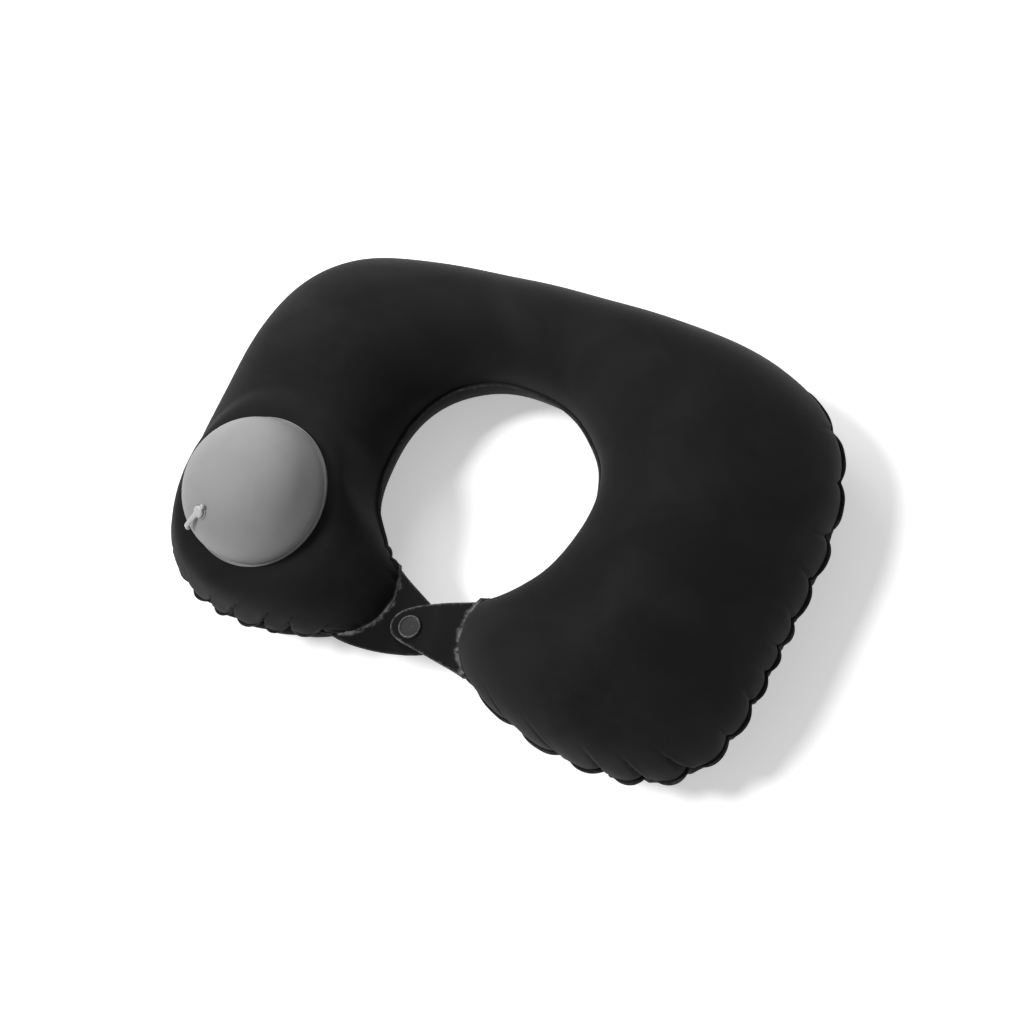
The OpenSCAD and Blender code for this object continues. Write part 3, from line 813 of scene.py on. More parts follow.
def notch_field(notches, arc, depth_in):
    """How far the sheet is drawn in: arc along the edge, depth_in the way in from it."""
    place, depth, reach, slant = notches.T
    middle = len(place) / 2
    lean = np.where(np.arange(len(place)) < middle, -1, 1) * slant
    arc = arc - np.interp(arc, place, lean) * depth_in
    power = 2.3 + 0.55 * depth_in / MM
    drawn = np.zeros(np.broadcast(arc, depth_in).shape)
    for k in range(len(place)):
        before = place[k] - place[k - 1] if k else 4 * NOTCH_REACH
        after = place[k + 1] - place[k] if k + 1 < len(place) else 4 * NOTCH_REACH
        offset = arc - place[k]
        half = np.where(offset < 0, min(before / 2, NOTCH_REACH), min(after / 2, NOTCH_REACH))
        near = np.clip(1 - np.abs(offset) / half, 0, 1)
        fade = np.clip(1 - depth_in / reach[k], 0, 1) ** 1.1
        inside = np.clip(depth_in / (3 * MM), 0, 1)
        steep = np.where(offset < 0, 1.0, 1 + 1.1 * inside)
        drawn += depth[k] * near ** (power * steep) * fade
        lip = np.exp(-((offset - 2.4 * MM) / (1.3 * MM)) ** 2)
        drawn -= 0.16 * depth[k] * lip * inside * fade
    return drawn


def swell_field(notches, arc, depth_in):
    """How far the sheet swells between notches that are close together."""
    place, depth = notches[:, 0], notches[:, 1]
    out = np.zeros(np.broadcast(arc, depth_in).shape)
    for a, b, da, db in zip(place, place[1:], depth, depth[1:]):
        if b - a < 45 * MM:
            t = np.clip((arc - a) / (b - a), 0, 1)
            out += 0.3 * (da + db) / 2 * np.sin(math.pi * t) ** 1.4
    return out * np.exp(-(depth_in / (13 * MM)) ** 2)


def dent_field(points):
    """Broad soft unevenness of an inflated sheet."""
    x, y, z = points[..., 0], points[..., 1], points[..., 2]
    return (0.5 * MM * np.sin(31 * x + 17 * y + 1.3) * np.sin(23 * y - 12 * x + 0.4)
            + 0.3 * MM * np.sin(64 * x - 41 * y + 2.1 + 20 * z) * np.sin(52 * y + 33 * x))


def rim_wave(arc, seed):
    """Slight rise and fall of the welded flange along the edge."""
    dice = np.random.default_rng(seed)
    out = np.zeros_like(arc)
    for length, size in ((0.061, 0.5), (0.034, 0.45), (0.019, 0.25)):
        out += size * MM * np.sin(TAU * arc / length + dice.uniform(0, TAU))
    return out


def grid_normals(points, outward):
    along = np.gradient(points, axis=0)
    over = np.gradient(points, axis=1)
    normal = np.cross(along, over)
    normal /= np.maximum(np.linalg.norm(normal, axis=2, keepdims=True), 1e-12)
    return normal * outward


def pillow_shape(p):
    """Points, faces and wear of the closed skin with its welded flange."""
    shares, rim_arc = column_shares(p)
    sheets, draws = [], []
    fine = np.linspace(0, 1, 4001)
    angle_of = np.degrees(rim_angle(p, fine))
    fine_arc = np.interp(fine, shares, rim_arc)
    neck_line = neck_at(p, shares)
    neck_arc = np.concatenate([[0], np.cumsum(np.linalg.norm(np.diff(neck_line, axis=0), axis=1))])
    neck_degrees = np.degrees(p.neck_end + (TAU - 2 * p.neck_end) * shares)
    rim_notches = notch_list(RIGHT_NOTCHES + [(360 - angle, depth) for angle, depth in LEFT_NOTCHES],
                             lambda angle: np.interp(angle, angle_of, fine_arc), 7)
    neck_notches = notch_list(NECK_NOTCHES,
                              lambda angle: np.interp(angle, neck_degrees, neck_arc), 11)
    neck_notches[:, 2] *= 0.6
    end_places = np.array([0.14, 0.3, 0.47, 0.66, 0.84])
    for upper in (True, False):
        points = sheet_points(p, shares, upper)
        normal = grid_normals(points, 1)
        if (normal[:, ROWS // 2, 2].mean() > 0) != upper:
            normal = -normal
        step = np.linalg.norm(np.diff(points, axis=1), axis=2)
        from_neck = np.concatenate([np.zeros((len(shares), 1)), np.cumsum(step, axis=1)], axis=1)
        from_rim = from_neck[:, -1:] - from_neck
        scale = 1.0 if upper else 0.85
        ends = half_thickness(p, shares) / (p.lobe_thick / 2)
        ends = np.clip(ends * 2.2, 0, 1)[:, None]
        move = -notch_field(rim_notches, rim_arc[:, None], from_rim * scale)
        move += swell_field(rim_notches, rim_arc[:, None], from_rim)
        move -= notch_field(neck_notches, neck_arc[:, None], from_neck)
        column_step = np.linalg.norm(np.diff(points, axis=0), axis=2)
        down = np.concatenate([np.zeros((1, ROWS)), np.cumsum(column_step, axis=0)])
        from_end = np.minimum(down, down[-1:] - down)
        t = np.linspace(0, 1, ROWS)[None, :]
        pucker = np.zeros_like(from_end)
        for k, place in enumerate(end_places):
            near = np.clip(1 - np.abs(t - place) / 0.075, 0, 1)
            pucker += near ** 2.6 * np.clip(1 - from_end / ((12 + 3 * (k % 3)) * MM), 0, 1) ** 1.2
        sealed = np.clip(from_end / (1.5 * MM), 0, 1)
        move = move * ends - 1.5 * MM * pucker * sealed
        free = 1 - seat_pull(points[..., :2], 1.0) if upper else np.ones_like(move)
        lying = 1.0 if upper else smooth((points[..., 2] + 40 * MM) / (12 * MM))
        rims = np.clip(np.minimum(from_rim, from_neck) / (25 * MM), 0, 1)
        move = move + dent_field(points) * rims * ends
        move = move * free * lying
        sheets.append(points + normal * move[..., None])
        draws.append((move[:, 0], move[:, -1]))
    return shares, rim_arc, neck_arc, sheets, draws


def flange_points(p, shares, edge, outer, drawn, wave, half):
    """Cross-section points of the welded flange from the sheet's edge outwards."""
    line = (edge + outer) / 2
    tangent = np.gradient(line, axis=0)
    out = np.stack([tangent[:, 1], -tangent[:, 0]], axis=1)
    out /= np.linalg.norm(out, axis=1, keepdims=True)
    out *= np.sign(np.sum(out * (outer - edge), axis=1))[:, None]
    rows = []
    for share, level in ((0.3, 1.0), (0.62, 1.0), (0.9, 0.85), (1.0, 0.0)):
        plan = edge * (1 - share) + outer * share + out * drawn[:, None]
        rows.append((plan, level * half, wave * share ** 1.5))
    return rows


def weave_columns(p):
    """The closed cross-section loops of the skin, one for each column."""
    shares, rim_arc, neck_arc, sheets, draws = pillow_shape(p)
    half = p.flange_thick / 2
    upper, lower = sheets
    upper[..., 2] = np.maximum(upper[..., 2], 0) + half
    lower[..., 2] = np.minimum(lower[..., 2], 0) - half
    base = sheet_points(p, shares, True)[..., :2]
    tops, bottoms, middles = [], [], []
    for edge_row, outer, arc, seed, which in ((0, neck_at(p, shares), neck_arc, 3, 0),
                                              (-1, rim_at(p, shares), rim_arc, 5, 1)):
        drawn = (draws[0][which] + draws[1][which]) / 2
        fade = np.clip(half_thickness(p, shares) / (12 * MM), 0, 1)
        rows = flange_points(p, shares, base[:, edge_row], outer, drawn,
                             rim_wave(arc, seed) * fade, half)
        top = [np.column_stack([plan, wave + level]) for plan, level, wave in rows[:-1]]
        bottom = [np.column_stack([plan, wave - level]) for plan, level, wave in rows[:-1]]
        plan, level, wave = rows[-1]
        tops.append(top)
        bottoms.append(bottom)
        middles.append(np.column_stack([plan, wave]))
    top_line = np.stack(tops[0][::-1] + [upper[:, r] for r in range(ROWS)] + tops[1], axis=1)
    low_line = np.stack(bottoms[0][::-1] + [lower[:, r] for r in range(ROWS)] + bottoms[1], axis=1)
    return shares, top_line, low_line, middles


def margin_columns(p, top_line, low_line, middles, side):
    """The flat welded margin past one lobe's end, as more columns."""
    index = 0 if side == 0 else -1
    normal = end_normal(p, side)
    half = p.flange_thick / 2
    out = []
    for reach, level in ((0.6, 1.0), (1.3, 1.0), (1.9, 0.8), (2.1, 0.3)):
        shift = np.append(normal * reach * MM, 0)
        columns = []
        for line, sign in ((top_line[index], 1), (low_line[index], -1)):
            moved = line + shift
            moved[:, 2] = sign * half * level
            columns.append(moved)
        mids = [middle[index] + shift for middle in middles]
        out.append((columns[0], columns[1], mids))
    return out


def loop_points(top, low, mids):
    return np.concatenate([[mids[0]], top, [mids[1]], low[::-1]])


def freedom(loops, width, margin):
    """How free each point of the skin is to move: none at welds, pump seat and table."""
    count, ring = loops.shape[:2]
    row = np.arange(ring)
    from_rim = np.minimum(np.minimum(row, ring - row), np.abs(row - width - 1))
    free = smooth((from_rim - 4) / 7)[None, :] * np.ones((count, 1))
    column = np.arange(count) - margin
    free *= smooth(np.minimum(column, column[::-1]) / 16)[:, None]
    upper = (row > 0) & (row <= width)
    seat = seat_pull(loops[..., :2] - np.array(neck_centre())[:2], 1.0)
    free *= 1 - seat * upper[None, :]
    return free * smooth((loops[..., 2] - 1.5 * MM) / (14 * MM))


def settle(loops, width, margin):
    """Lets the air in the skin push it out between its creases: cloth on a coarse copy,
    whose moves are capped and carried over to the fine skin."""
    scene = bpy.context.scene
    count, ring = loops.shape[:2]
    columns = np.unique(np.linspace(margin, count - margin - 1, 330).astype(int))
    rows = np.unique(np.append(np.arange(0, ring, 2), width + 1))
    free = freedom(loops, width, margin)
    coarse = loops[np.ix_(columns, rows)]
    wide, round_ = coarse.shape[:2]
    faces = [(c * round_ + r, c * round_ + (r + 1) % round_,
              (c + 1) * round_ + (r + 1) % round_, (c + 1) * round_ + r)
             for c in range(wide - 1) for r in range(round_)]
    faces += [tuple(range(round_)), tuple(range((wide - 1) * round_, wide * round_))]
    copy = make_object("settling_skin", coarse.reshape(-1, 3), faces,
                       flock_material("flocked_sheet", 1.0, 0.00012))
    held = copy.vertex_groups.new(name="held")
    fixed = np.flatnonzero(free[np.ix_(columns, rows)].ravel() < 0.35)
    held.add([int(i) for i in fixed], 1.0, "REPLACE")
    cloth = copy.modifiers.new("air", "CLOTH")
    settings = cloth.settings
    settings.quality = 6
    settings.mass = 0.3
    settings.tension_stiffness = settings.compression_stiffness = 18
    settings.shear_stiffness = 6
    settings.bending_stiffness = 0.3
    settings.use_pressure = True
    settings.uniform_pressure_force = 4
    settings.vertex_group_mass = "held"
    settings.effector_weights.gravity = 0
    cloth.collision_settings.use_collision = False
    for frame_number in range(1, SETTLE_FRAMES + 1):
        scene.frame_set(frame_number)
    graph = bpy.context.evaluated_depsgraph_get()
    settled = copy.evaluated_get(graph).to_mesh()
    after = np.zeros(len(settled.vertices) * 3)
    settled.vertices.foreach_get("co", after)
    move = after.reshape(coarse.shape) - coarse
    size = np.maximum(np.linalg.norm(move, axis=2, keepdims=True), 1e-9)
    move *= np.minimum(1, SETTLE_CAP / size)
    print("settled skin: mean move", size.mean(), "largest", size.max())
    mesh = copy.data
    bpy.data.objects.remove(copy)
    bpy.data.meshes.remove(mesh)
    scene.frame_set(1)
    fine = np.zeros((count, len(rows), 3))
    for axis in range(3):
        for r in range(len(rows)):
            fine[:, r, axis] = np.interp(np.arange(count), columns, move[:, r, axis])
    around = np.append(rows, ring)
    for axis in range(3):
        for c in range(count):
            line = np.append(fine[c, :, axis], fine[c, 0, axis])
            loops[c, :, axis] += np.interp(np.arange(ring), around, line) * free[c]
    return loops


def build_skin():
    p = bpy.context.scene.neck_pillow_body
    shares, top_line, low_line, middles = weave_columns(p)
    loops = [loop_points(top_line[c], low_line[c], [m[c] for m in middles])
             for c in range(len(shares))]
    first = [loop_points(*columns) for columns in
             reversed(margin_columns(p, top_line, low_line, middles, 0))]
    last = [loop_points(*columns) for columns in
            margin_columns(p, top_line, low_line, middles, 1)]
    loops = np.array(first + loops + last)
    count, ring = loops.shape[:2]
    width = top_line.shape[1]
    loops += np.array(neck_centre())
    loops = settle(loops, width, len(first))
    points = loops.reshape(-1, 3)
    points[:, 2] = np.maximum(points[:, 2], LOWER_LOW.z)
    faces = []
    for c in range(count - 1):
        for r in range(ring):
            k = (r + 1) % ring
            faces.append((c * ring + r, c * ring + k, (c + 1) * ring + k, (c + 1) * ring + r))
    for c in (0, count - 1):
        start = c * ring
        faces.append((start, start + 1, start + ring - 1))
        for i in range(1, width):
            faces.append((start + i, start + i + 1, start + ring - i - 1, start + ring - i))
        faces.append((start + width, start + width + 1, start + width + 2))
    # Paler flange rows at the neck and the rim: partly rubbed flock, partly a painted highlight where
    # the flange catches the light.
    wear_and_painted_highlight = np.zeros((count, ring))
    for column in (0, 1, 2, width - 1, width, width + 1):
        wear_and_painted_highlight[:, column] = 0.2
    margin = len(first)
    reach = np.abs(np.arange(count) - (margin - 0.5))
    reach = np.minimum(reach, np.abs(np.arange(count) - (count - margin - 0.5)))
    near = np.exp(-(reach / 3.0) ** 2)[:, None]
    wear_and_painted_highlight = np.maximum(wear_and_painted_highlight, near * 0.55 * np.ones((1, ring)))
    piece = make_object("pillow_skin", points, faces,
                        flock_material("flocked_sheet", 1.0, 0.00012), {"wear_and_painted_highlight": wear_and_painted_highlight.ravel()})
    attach(piece, "pillow")
    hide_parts("upper_panel", "lower_panel")
    return piece


# ---- straps ------------------------------------------------------------------------------
# Outlines in millimetres from the neck centre, as closed smooth curves. The root points lie
# inside the lobe.
RIGHT_OUTLINE = [(34, -62), (28, -66.5), (19, -71), (11, -74.5), (3, -78.2), (-5, -82.6),
                 (-11.6, -87.6), (-15.4, -93), (-15.8, -98.5), (-12.6, -103.3), (-6.6, -105.7),
                 (3, -106.8), (18, -108.3), (31, -109.5), (41, -110.8), (45, -108), (41, -101),
                 (34.5, -90), (34, -78), (37, -68)]
LEFT_OUTLINE = [(-34.5, -61), (-27, -65.5), (-20, -69.2), (-10, -73.6), (1, -78.2), (9, -81.2),
                (15.5, -86), (18.6, -93), (17.6, -100), (12.6, -106.2), (3, -110.8), (-8, -114.2),
                (-23, -117.6), (-35, -119), (-45, -118.9), (-54, -117), (-52, -111), (-42, -103),
                (-36, -92), (-34, -80), (-38, -69)]
OUTLINE_STEPS = 9
STRAP_SPACING = 1.1 * MM


def strap_step(x, direction):
    """Share of the strap's step, rising from the lobe towards the snap."""
    start = 27 * MM
    return smooth((start - x * direction) / (15 * MM))


def strap_height(points, direction, step):
    """Height of a strap's middle over the weld plane at plan points."""
    s = bpy.context.scene.neck_pillow_straps
    x, y = points[:, 0], points[:, 1]
    height = step * strap_step(x, direction)
    from_snap = np.linalg.norm(points - np.array(s.snap[:2]), axis=1)
    droop = smooth((from_snap - 8 * MM) / (9 * MM)) * smooth((12 * MM - x * direction) / (8 * MM))
    height = height - np.sign(step) * 0.5 * MM * droop
    along = (x * direction - 4 * MM) / (36 * MM)
    ridge_y = (-99 - 8.5 * np.clip(along, 0, 1)) * MM
    ridge = np.exp(-((y - ridge_y) / (2.6 * MM)) ** 2) * smooth(along * 3) * smooth((1.1 - along) * 3)
    ripple = 0.25 * MM * np.sin(210 * x + 130 * y) * smooth((x * direction - 8 * MM) / (12 * MM))
    return height + np.sign(step) * 0.9 * MM * ridge + ripple


def outline_normals(line):
    tangent = np.roll(line, -1, axis=0) - np.roll(line, 1, axis=0)
    normal = np.column_stack([tangent[:, 1], -tangent[:, 0]])
    normal /= np.linalg.norm(normal, axis=1, keepdims=True)
    area = np.sum(line[:, 0] * np.roll(line[:, 1], -1) - np.roll(line[:, 0], -1) * line[:, 1])
    return normal if area > 0 else -normal


def fill_plan(line, spacing):
    """Triangles over a closed outline, with an even grid of points inside it."""
    low, high = line.min(axis=0), line.max(axis=0)
    inside = []
    rows = int((high[1] - low[1]) / (spacing * 0.87))
    for r in range(rows):
        for c in range(int((high[0] - low[0]) / spacing) + 1):
            point = low + np.array([(c + 0.5 * (r % 2)) * spacing, (r + 0.5) * spacing * 0.87])
            away = np.linalg.norm(line - point, axis=1).min()
            if away > spacing * 0.55 and winding(line, point):
                inside.append(point)
    points = [Vector(point) for point in line] + [Vector(point) for point in inside]
    edges = [(i, (i + 1) % len(line)) for i in range(len(line))]
    made, _, faces, *_ = delaunay_2d_cdt(points, edges, [], 1, 1e-9)
    return np.array([tuple(point) for point in made]), [tuple(face) for face in faces]


def winding(line, point):
    """Whether a point lies inside a closed outline."""
    a, b = line, np.roll(line, -1, axis=0)
    crosses = (a[:, 1] > point[1]) != (b[:, 1] > point[1])
    rise = np.where(crosses, b[:, 1] - a[:, 1], 1)
    x = a[:, 0] + (point[1] - a[:, 1]) * (b[:, 0] - a[:, 0]) / rise
    return bool(np.sum(crosses & (x > point[0])) % 2)


def weld_line(p, side):
    """The welded end of a lobe in plan."""
    across = np.linspace(0, 1, 60)
    return plan_point(p, np.full(60, float(side)), across)


def build_strap(name, outline, side, step, replaced):
    p = bpy.context.scene.neck_pillow_body
    s = bpy.context.scene.neck_pillow_straps
    direction = 1 if side == 0 else -1
    line = smooth_curve(np.array(outline) * MM, OUTLINE_STEPS, closed=True)
    normal = outline_normals(line)
    half, edge_r = s.thick / 2, 0.45 * MM
    inner = line - normal * edge_r
    plan, triangles = fill_plan(inner, STRAP_SPACING)
    count, ring = len(plan), len(line)
    sides = [(0.0, half), (0.7, half - 0.3 * edge_r), (1.0, half - edge_r), (1.0, 0.0),
             (1.0, edge_r - half), (0.7, 0.3 * edge_r - half)]
    flat, level = [plan], [np.full(count, half)]
    for share, height in sides[1:]:
        flat.append(inner + normal * edge_r * share)
        level.append(np.full(ring, height))
    flat.append(plan)
    level.append(np.full(count, -half))
    flat, level = np.concatenate(flat), np.concatenate(level)
    height = strap_height(flat, direction, step)
    edge_away = np.linalg.norm(flat[:, None, :] - inner[None, ::3, :], axis=2).min(axis=1)
    pressed = np.exp(-((edge_away - 1.3 * MM) / (0.55 * MM)) ** 2) * 0.16 * MM
    points = np.column_stack([flat, height + level - np.sign(level) * pressed])
    faces = [tuple(face) for face in triangles]
    low = count + (len(sides) - 1) * ring
    faces += [tuple(low + i for i in reversed(face)) for face in triangles]
    belts = [list(range(ring))]
    belts += [list(range(count + k * ring, count + (k + 1) * ring)) for k in range(len(sides) - 1)]
    belts.append(list(range(low, low + ring)))
    for a, b in zip(belts, belts[1:]):
        for i in range(ring):
            k = (i + 1) % ring
            faces.append((a[i], a[k], b[k], b[i]))
    weld = weld_line(p, side)
    weld_away = np.linalg.norm(flat[:, None, :] - weld[None, :, :], axis=2).min(axis=1)
    weld_away += 0.6 * MM * np.sin(flat[:, 1] * 520) + 0.4 * MM * np.sin(flat[:, 1] * 1130 + 2)
    wear_and_painted_highlight = np.exp(-(np.maximum(0, weld_away - 1.0 * MM) / (0.9 * MM)) ** 2)
    cut = np.zeros(len(flat))
    cut[count:low] = 0.95 if side == 0 else 0.35
    cut[:ring] = 0.6 if side == 0 else 0.15
    points += np.array(neck_centre())
    piece = make_object(name, points, faces, flock_material("flocked_strap", 0.85, 0.0001),
                        {"wear_and_painted_highlight": np.maximum(wear_and_painted_highlight, cut)})
    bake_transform(piece)
    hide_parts(replaced[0])
    return piece


# ---- snap ---------------------------------------------------------------------------------
def build_snap():
    s = bpy.context.scene.neck_pillow_straps
    finish = bpy.context.scene.neck_pillow_finish
    low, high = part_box("snap_cap")
    centre = Vector(((low.x + high.x) / 2, (low.y + high.y) / 2, high.z - s.cap_height))
    r, h = s.cap_radius, s.cap_height
    shank = low.z - centre.z
    profile = [(0, h * 0.74), (r * 0.66, h * 0.76), (r * 0.76, h * 0.86), (r * 0.84, h * 0.99),
               (r * 0.91, h * 0.97), (r * 0.97, h * 0.62), (r, h * 0.26), (r * 0.965, 0.02 * MM),
               (r * 0.3, 0.02 * MM), (r * 0.22, shank), (0, shank)]
    profile = rounded(profile, 0.5 * MM, 4)
    points, faces = lathe(profile, Matrix.Translation(centre), 96)
    wear_and_painted_highlight = []
    for point in points:
        away = math.hypot(point.x - centre.x, point.y - centre.y) / r
        wear_and_painted_highlight.append(max(0.0, 1 - abs(away - 0.9) / 0.09) * 0.8)
    metal = painted_metal("painted_snap", finish.cap, (0.34, 0.34, 0.35))
    cap = make_object("snap_cap_shell", points, faces, metal, {"wear_and_painted_highlight": wear_and_painted_highlight})
    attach(cap, "right_strap")
    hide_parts("snap_cap")
    give_material("stud_rivet", metal)
    for node in ("snap_socket", "socket_spring", "snap_stud"):
        give_material(node, steel_material())


def give_material(node, material):
    """A CAD node keeps its shape and takes a new finish."""
    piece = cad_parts[node]
    for slot in piece.material_slots:
        slot.material = material
    if not piece.material_slots:
        piece.data.materials.append(material)


# ---- pump ---------------------------------------------------------------------------------
def build_pump():
    q = bpy.context.scene.neck_pillow_pump
    finish = bpy.context.scene.neck_pillow_finish
    foot, plate = q.plate + 0.02 * MM, q.dome_radius + q.flange
    outer_h = q.dome_height - foot
    inner_r, inner_h = q.dome_radius - q.dome_wall, outer_h - q.dome_wall
    steps = 46

    def arc(radius, height, start):
        line = []
        for i in range(steps + 1):
            turn = start + (math.pi / 2 - start) * i / steps
            share = 2 / q.dome_square
            line.append((radius * math.cos(turn) ** share, foot + height * math.sin(turn) ** share))
        return line

    outer = [point for point in arc(q.dome_radius, outer_h, 0.0) if point[1] > foot + 1.4 * MM]
    fillet = rounded([(plate - 0.1 * MM, foot), (plate, foot + 0.2 * MM),
                      (plate, foot + q.plate - 0.1 * MM), (plate - 0.4 * MM, foot + q.plate),
                      (plate - 0.75 * MM, foot + 0.5 * q.plate),
                      (q.dome_radius + 0.1 * MM, foot + 0.4 * q.plate),
                      (q.dome_radius + 0.02 * MM, foot + 0.9 * q.plate)], 0.3 * MM, 3)
    inner = [point for point in arc(inner_r, inner_h, 0.0) if point[1] < foot + inner_h - 1e-6]
    profile = fillet + outer[:-1] + [(0, foot + outer_h), (0, foot + inner_h)]
    profile += list(reversed(inner))
    points, faces = lathe_open_pole(profile, pump_matrix(), 160)
    dome = make_object("pump_dome", points, faces, moulded_material("dome_plastic", finish.dome))
    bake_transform(dome)
    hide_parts("pump_skirt", "pump_crown")
    give_material("pump_base", moulded_material("clear_plate", (0.3, 0.3, 0.3), 0.3, 0.42))


def lathe_open_pole(profile, matrix, segments):
    """A turned shell whose profile is a closed loop that touches the axis twice."""
    poles = [i for i, point in enumerate(profile) if point[0] < 1e-9]
    profile = profile[poles[1]:] + profile[:poles[0] + 1]
    return lathe(profile, matrix, segments)


# ---- valve --------------------------------------------------------------------------------
def build_valve():
    q = bpy.context.scene.neck_pillow_pump
    finish = bpy.context.scene.neck_pillow_finish
    place = valve_matrix()
    r = q.seat_radius
    profile = rounded([(2 * MM, -3.4 * MM), (3.1 * MM, -3.4 * MM), (3.1 * MM, -0.8 * MM),
                       (r, -0.8 * MM), (r, 0.3 * MM), (r - 0.9 * MM, 0.34 * MM),
                       (r - 1.3 * MM, 0.12 * MM), (2.9 * MM, 0.12 * MM), (2.5 * MM, 0.3 * MM),
                       (2 * MM, 0.2 * MM)], 0.25 * MM, 3)
    points, faces = lathe(profile, place, 96)
    seat = make_object("valve_ring", points, faces, moulded_material("dome_plastic", finish.dome))
    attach(seat, "pump")
    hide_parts("valve_seat")
    build_plug(place)
    clear = moulded_material("clear_flap", (0.36, 0.36, 0.35), 0.25, 0.38)
    give_material("intake_flap", clear)
    give_material("outlet_flap", clear)


def bar(path, widths, heights, sides=20):
    """A rounded bar along a path in the X-Z plane, with a width and a height at each point."""
    points, faces = [], []
    line = np.array(path, float)
    tangent = np.gradient(line, axis=0)
    tangent /= np.linalg.norm(tangent, axis=1, keepdims=True)
    for (x, z), (tx, tz), width, height in zip(line, tangent, widths, heights):
        for i in range(sides):
            turn = TAU * i / sides
            c, s = math.cos(turn), math.sin(turn)
            across = width / 2 * math.copysign(abs(c) ** 0.5, c)
            up = height / 2 * math.copysign(abs(s) ** 0.5, s)
            points.append(Vector((x - tz * up, across, z + tx * up)))
    count = len(line)
    for k in range(count - 1):
        for i in range(sides):
            j = (i + 1) % sides
            faces.append((k * sides + i, k * sides + j, (k + 1) * sides + j, (k + 1) * sides + i))
    faces.append(tuple(range(sides)))
    faces.append(tuple(range((count - 1) * sides, count * sides)))
    return points, faces


def build_plug(place):
    """Round head, stem, hinge stub and hooked pull tab, fused into one moulding."""
    q = bpy.context.scene.neck_pillow_pump
    finish = bpy.context.scene.neck_pillow_finish
    tip = q.tab_reach + 1.2 * MM
    parts = [lathe(rounded([(0, 2.05 * MM), (2.4 * MM, 1.95 * MM), (3.5 * MM, 1.5 * MM),
                            (3.6 * MM, 0.5 * MM), (1.9 * MM, 0.42 * MM), (1.85 * MM, 0.0),
                            (1.0 * MM, -1.9 * MM), (0, -1.95 * MM)], 0.4 * MM, 4),
                   Matrix.Identity(4), 64)]
    tab_path = smooth_curve([(2.0 * MM, 1.25 * MM), (6 * MM, 1.5 * MM), (tip - 4.4 * MM, 1.3 * MM),
                             (tip - 1.9 * MM, 0.5 * MM), (tip - 0.75 * MM, -0.7 * MM),
                             (tip - 0.9 * MM, -1.7 * MM)], 8)
    share = np.linspace(0, 1, len(tab_path))
    widths = (3.3 - 0.6 * np.sin(share * math.pi)) * MM
    parts.append(bar(tab_path, widths, np.full(len(share), 1.5 * MM)))
    link_path = smooth_curve([(-1.5 * MM, 1.2 * MM), (-3.6 * MM, 1.05 * MM), (-5.0 * MM, 1.0 * MM)], 8)
    share = np.linspace(0, 1, len(link_path))
    parts.append(bar(link_path, np.full(len(share), 2.2 * MM), np.full(len(share), 1.2 * MM)))
    stub = Matrix.Translation((-4.9 * MM, 0, 0))
    parts.append(lathe(rounded([(0, 2.3 * MM), (1.1 * MM, 2.2 * MM), (1.5 * MM, 1.6 * MM),
                                (1.25 * MM, 0.45 * MM), (0, 0.42 * MM)], 0.35 * MM, 4), stub, 40))
    points, faces = [], []
    for part_points, part_faces in parts:
        base = len(points)
        points += part_points
        faces += [tuple(base + i for i in face) for face in part_faces]
    plug = make_object("valve_plug_moulding", points, faces,
                       moulded_material("plug_plastic", finish.plug, 0.4, 0.52, 0.00002))
    fuse(plug, 0.16 * MM)
    plug.data.transform(place)
    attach(plug, "plug")
    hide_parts("valve_plug")


def fuse(piece, voxel):
    """Joins overlapping closed shapes of one mesh into a single smooth skin."""
    remesh = piece.modifiers.new("fuse", "REMESH")
    remesh.mode = "VOXEL"
    remesh.voxel_size = voxel
    remesh.use_smooth_shade = True
    relax = piece.modifiers.new("relax", "SMOOTH")
    relax.factor = 0.5
    relax.iterations = 4
    apply_modifiers(piece)


def apply_modifiers(piece):
    """Keeps the shape that the modifiers make and removes them."""
    graph = bpy.context.evaluated_depsgraph_get()
    mesh = bpy.data.meshes.new_from_object(piece.evaluated_get(graph))
    old = piece.data
    piece.modifiers.clear()
    piece.data = mesh
    bpy.data.meshes.remove(old)


# ---- stage --------------------------------------------------------------------------------
def camera_axes(studio):
    """Right, up and back directions of the camera."""
    a, e = studio.azimuth, studio.elevation
    back = Vector((math.sin(a) * math.cos(e), -math.cos(a) * math.cos(e), math.sin(e)))
    right = Vector((math.cos(a), math.sin(a), 0))
    up = back.cross(right)
    c, s = math.cos(studio.roll), math.sin(studio.roll)
    return right * c - up * s, right * s + up * c, back


def build_stage():
    scene = bpy.context.scene
    studio = scene.neck_pillow_studio
    right, up, back = camera_axes(studio)
    lens = bpy.data.cameras.new("camera")
    lens.lens = studio.lens
    lens.sensor_width = 36
    lens.shift_x, lens.shift_y = 0.0247, -0.0226
    lens.dof.use_dof = False
    camera = bpy.data.objects.new("camera", lens)
    scene.collection.objects.link(camera)
    turn = Matrix((right, up, back)).transposed().to_4x4()
    camera.matrix_world = Matrix.Translation(neck_centre() + back * studio.distance) @ turn
    scene.camera = camera
    build_floor(studio)
    build_lights(studio)


def build_floor(studio):
    reach = 3.0
    material, tree, shader = new_material("pale_floor")
    place = add_node(tree, "ShaderNodeTexCoord").outputs["Object"]
    cloud = noise(tree, place, 6.0, 3.0, 0.5)
    wire(tree, shader, Base_Color=mix_colour(tree, cloud, rgba(studio.floor),
                                             rgba(studio.floor, 0.985)))
    shader.inputs["Roughness"].default_value = 0.9
    shader.inputs["Specular IOR Level"].default_value = 0.1
    shader.inputs["Emission Color"].default_value = (1, 1, 1, 1)
    shader.inputs["Emission Strength"].default_value = studio.glow
    corners = [(-reach, -reach, 0), (reach, -reach, 0), (reach, reach, 0), (-reach, reach, 0)]
    floor = make_object("floor", corners, [(0, 1, 2, 3)], material, flat=True)


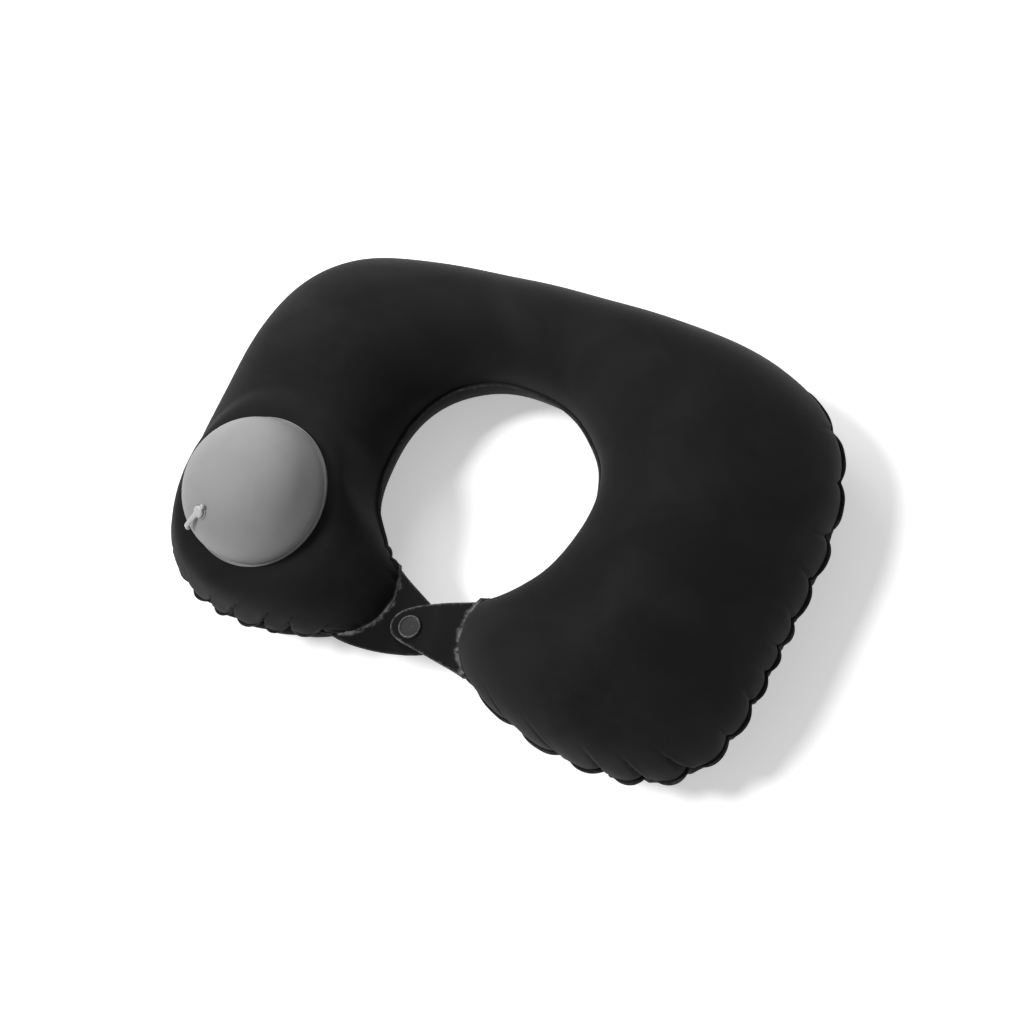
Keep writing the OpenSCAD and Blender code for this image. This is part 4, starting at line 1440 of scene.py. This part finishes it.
def build_lights(studio):
    """A soft key from the left of the pillow and an even pale surround."""
    scene = bpy.context.scene
    light = bpy.data.lights.new("key_light", "SUN")
    light.angle = studio.key_softness
    light.energy = studio.key_power
    lamp = bpy.data.objects.new("key_light", light)
    scene.collection.objects.link(lamp)
    a, e = studio.key_azimuth, studio.key_elevation
    towards = Vector((math.sin(a) * math.cos(e), -math.cos(a) * math.cos(e), math.sin(e)))
    lamp.location = neck_centre() + towards
    lamp.rotation_mode = "QUATERNION"
    lamp.rotation_quaternion = towards.to_track_quat("Z", "Y")
    panel = bpy.data.lights.new("back_light", "AREA")
    panel.shape, panel.size, panel.energy = "DISK", 0.4, studio.back_power
    holder = bpy.data.objects.new("back_light", panel)
    scene.collection.objects.link(holder)
    away = Vector(studio.back_place)
    holder.location = neck_centre() + away
    holder.rotation_mode = "QUATERNION"
    holder.rotation_quaternion = away.to_track_quat("Z", "Y")
    world = bpy.data.worlds.new("studio_world")
    world.use_nodes = True
    sky = world.node_tree.nodes["Background"]
    sky.inputs["Color"].default_value = (1, 1, 1, 1)
    sky.inputs["Strength"].default_value = studio.surround
    scene.world = world
    scene.view_settings.view_transform = "Standard"


# ---- operators ------------------------------------------------------------------------------
class NECKPILLOW_OT_stage(bpy.types.Operator):
    """Adds the camera, the lights and the pale floor"""
    bl_idname = "neck_pillow.add_stage"
    bl_label = "Stage"

    def execute(self, context):
        build_stage()
        return {"FINISHED"}


class NECKPILLOW_OT_skin(bpy.types.Operator):
    """Adds the inflated flocked body with its welded, scalloped rim"""
    bl_idname = "neck_pillow.add_skin"
    bl_label = "Inflated Body"

    def execute(self, context):
        build_skin()
        return {"FINISHED"}


class NECKPILLOW_OT_straps(bpy.types.Operator):
    """Adds the two front straps that grow out of the lobes"""
    bl_idname = "neck_pillow.add_straps"
    bl_label = "Straps"

    def execute(self, context):
        s = context.scene.neck_pillow_straps
        build_strap("right_strap_sheet", RIGHT_OUTLINE, 0, s.step,
                    ("upper_strap", "right_strap_fold"))
        build_strap("left_strap_sheet", LEFT_OUTLINE, 1, -s.step,
                    ("lower_strap", "left_strap_fold"))
        return {"FINISHED"}


class NECKPILLOW_OT_snap(bpy.types.Operator):
    """Adds the snap's cap and finishes its hidden parts"""
    bl_idname = "neck_pillow.add_snap"
    bl_label = "Snap Fastener"

    def execute(self, context):
        build_snap()
        return {"FINISHED"}


class NECKPILLOW_OT_pump(bpy.types.Operator):
    """Adds the press pump's dome and finishes its base plate"""
    bl_idname = "neck_pillow.add_pump"
    bl_label = "Press Pump"

    def execute(self, context):
        build_pump()
        return {"FINISHED"}


class NECKPILLOW_OT_valve(bpy.types.Operator):
    """Adds the intake valve's ring and plug and finishes the check flaps"""
    bl_idname = "neck_pillow.add_valve"
    bl_label = "Intake Valve"

    def execute(self, context):
        build_valve()
        return {"FINISHED"}


OPERATORS = (NECKPILLOW_OT_stage, NECKPILLOW_OT_skin, NECKPILLOW_OT_straps,
             NECKPILLOW_OT_snap, NECKPILLOW_OT_pump, NECKPILLOW_OT_valve)


class NECKPILLOW_PT_panel(bpy.types.Panel):
    """Lists the pieces of the neck pillow"""
    bl_idname = "NECKPILLOW_PT_panel"
    bl_label = "Neck Pillow"
    bl_space_type = "VIEW_3D"
    bl_region_type = "UI"
    bl_category = "Neck Pillow"

    def draw(self, context):
        for operator in OPERATORS:
            self.layout.operator(operator.bl_idname)
        for name, group in GROUPS.items():
            box = self.layout.box()
            for key in group.__annotations__:
                box.prop(getattr(context.scene, name), key)


def register():
    for kind in (*GROUPS.values(), *OPERATORS, NECKPILLOW_PT_panel):
        bpy.utils.register_class(kind)
    for name, group in GROUPS.items():
        setattr(bpy.types.Scene, name, bpy.props.PointerProperty(type=group))


def unregister():
    for name in GROUPS:
        delattr(bpy.types.Scene, name)
    for kind in (NECKPILLOW_PT_panel, *reversed(OPERATORS), *reversed(GROUPS.values())):
        bpy.utils.unregister_class(kind)


def main():
    register()
    bpy.ops.neck_pillow.add_stage()
    bpy.ops.neck_pillow.add_skin()
    bpy.ops.neck_pillow.add_straps()
    bpy.ops.neck_pillow.add_snap()
    bpy.ops.neck_pillow.add_pump()
    bpy.ops.neck_pillow.add_valve()


if __name__ == "__main__":
    main()
